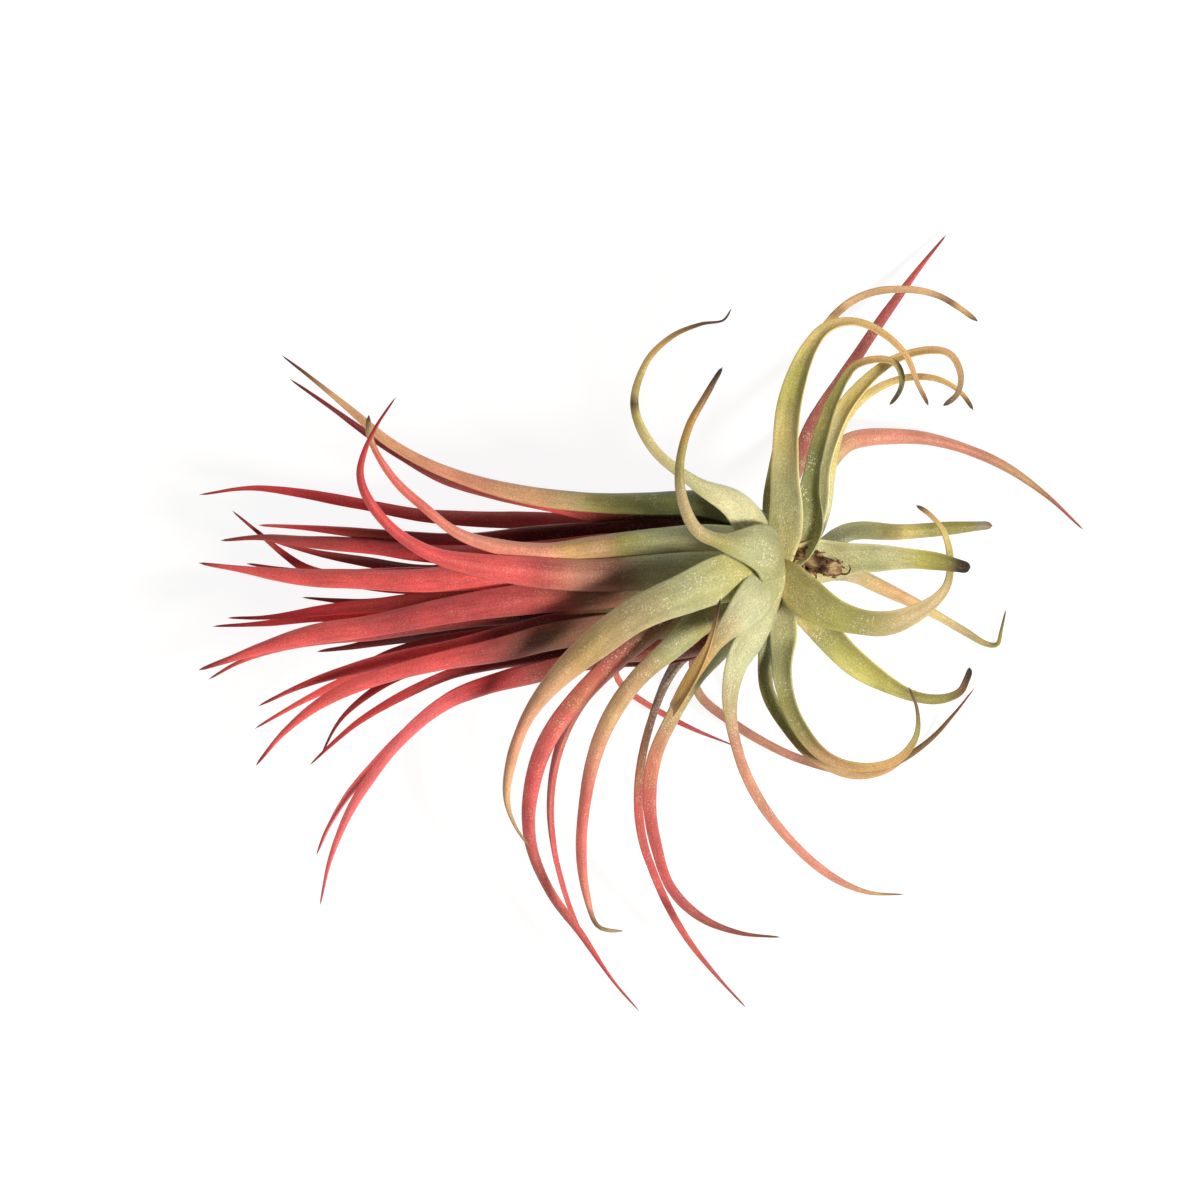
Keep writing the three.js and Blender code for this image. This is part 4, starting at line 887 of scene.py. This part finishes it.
def makeCamera():
    data = bpy.data.cameras.new("camera")
    data.sensor_width = camera["sensor"]
    data.lens = camera["sensor"] * camera["distance"] / camera["pictureWidth"]
    data.clip_end = 20
    eye = bpy.data.objects.new("camera", data)
    eye.location = camera["aim"] + Vector((0, 0, camera["distance"]))
    bpy.context.scene.collection.objects.link(eye)
    bpy.context.scene.camera = eye


def makeLights():
    world = bpy.data.worlds.new("studio")
    bpy.context.scene.world = world
    world.use_nodes = True
    background = world.node_tree.nodes["Background"].inputs
    background["Color"].default_value = stage["worldColour"]
    background["Strength"].default_value = stage["worldLight"]
    data = bpy.data.lights.new("key", "AREA")
    data.energy = stage["keyPower"]
    data.size = stage["keySize"]
    data.color = stage["keyColour"]
    key = bpy.data.objects.new("key", data)
    key.location = stage["keyFrom"]
    key.rotation_mode = "QUATERNION"
    key.rotation_quaternion = (-stage["keyFrom"]).to_track_quat("-Z", "Y")
    bpy.context.scene.collection.objects.link(key)


# Plain white paper table under soft light.
def makeFloor():
    material, _, _ = newMaterial("whitePaper", {
        "Base Color": linear(stage["floor"]), "Roughness": 0.9, "Emission Color": (1, 1, 1, 1),
        "Emission Strength": stage["glow"]})
    half = stage["floorSize"] / 2
    mesh = bpy.data.meshes.new("floor")
    mesh.from_pydata([(-half, -half, 0), (half, -half, 0), (half, half, 0), (-half, half, 0)], [],
                     [(0, 1, 2, 3)])
    mesh.materials.append(material)
    floor = bpy.data.objects.new("floor", mesh)
    bpy.context.scene.collection.objects.link(floor)


makeCamera()
makeLights()
makeFloor()
bpy.context.scene.view_settings.view_transform = "Standard"

leafSkin = makeLeafSkin()
scaleSkin = makeScaleSkin()
dryWood = makeDryWood()
bladeTree = makeBladeTree()
addStem()
addStub()
print("stem and root stub made")
for number, row in enumerate(outerLeaves, 1):
    addLeaf(f"outer_leaf_{number:02}", row, "outer", crown=False)
for number, row in enumerate(crownLeaves, 1):
    addLeaf(f"crown_leaf_{number:02}", row, "inner", crown=True)
for number, (kind, at, *way) in enumerate(underLeaves, 1):
    row = (at, underWidths, "sharp", underTones[kind], *way)
    addLeaf(f"under_leaf_{number:02}", row, "inner", crown=kind == "red")
print("leaf paths made:", len(outerLeaves) + len(crownLeaves) + len(underLeaves))
finishPieces()
print("pieces finished:", len(pieces))
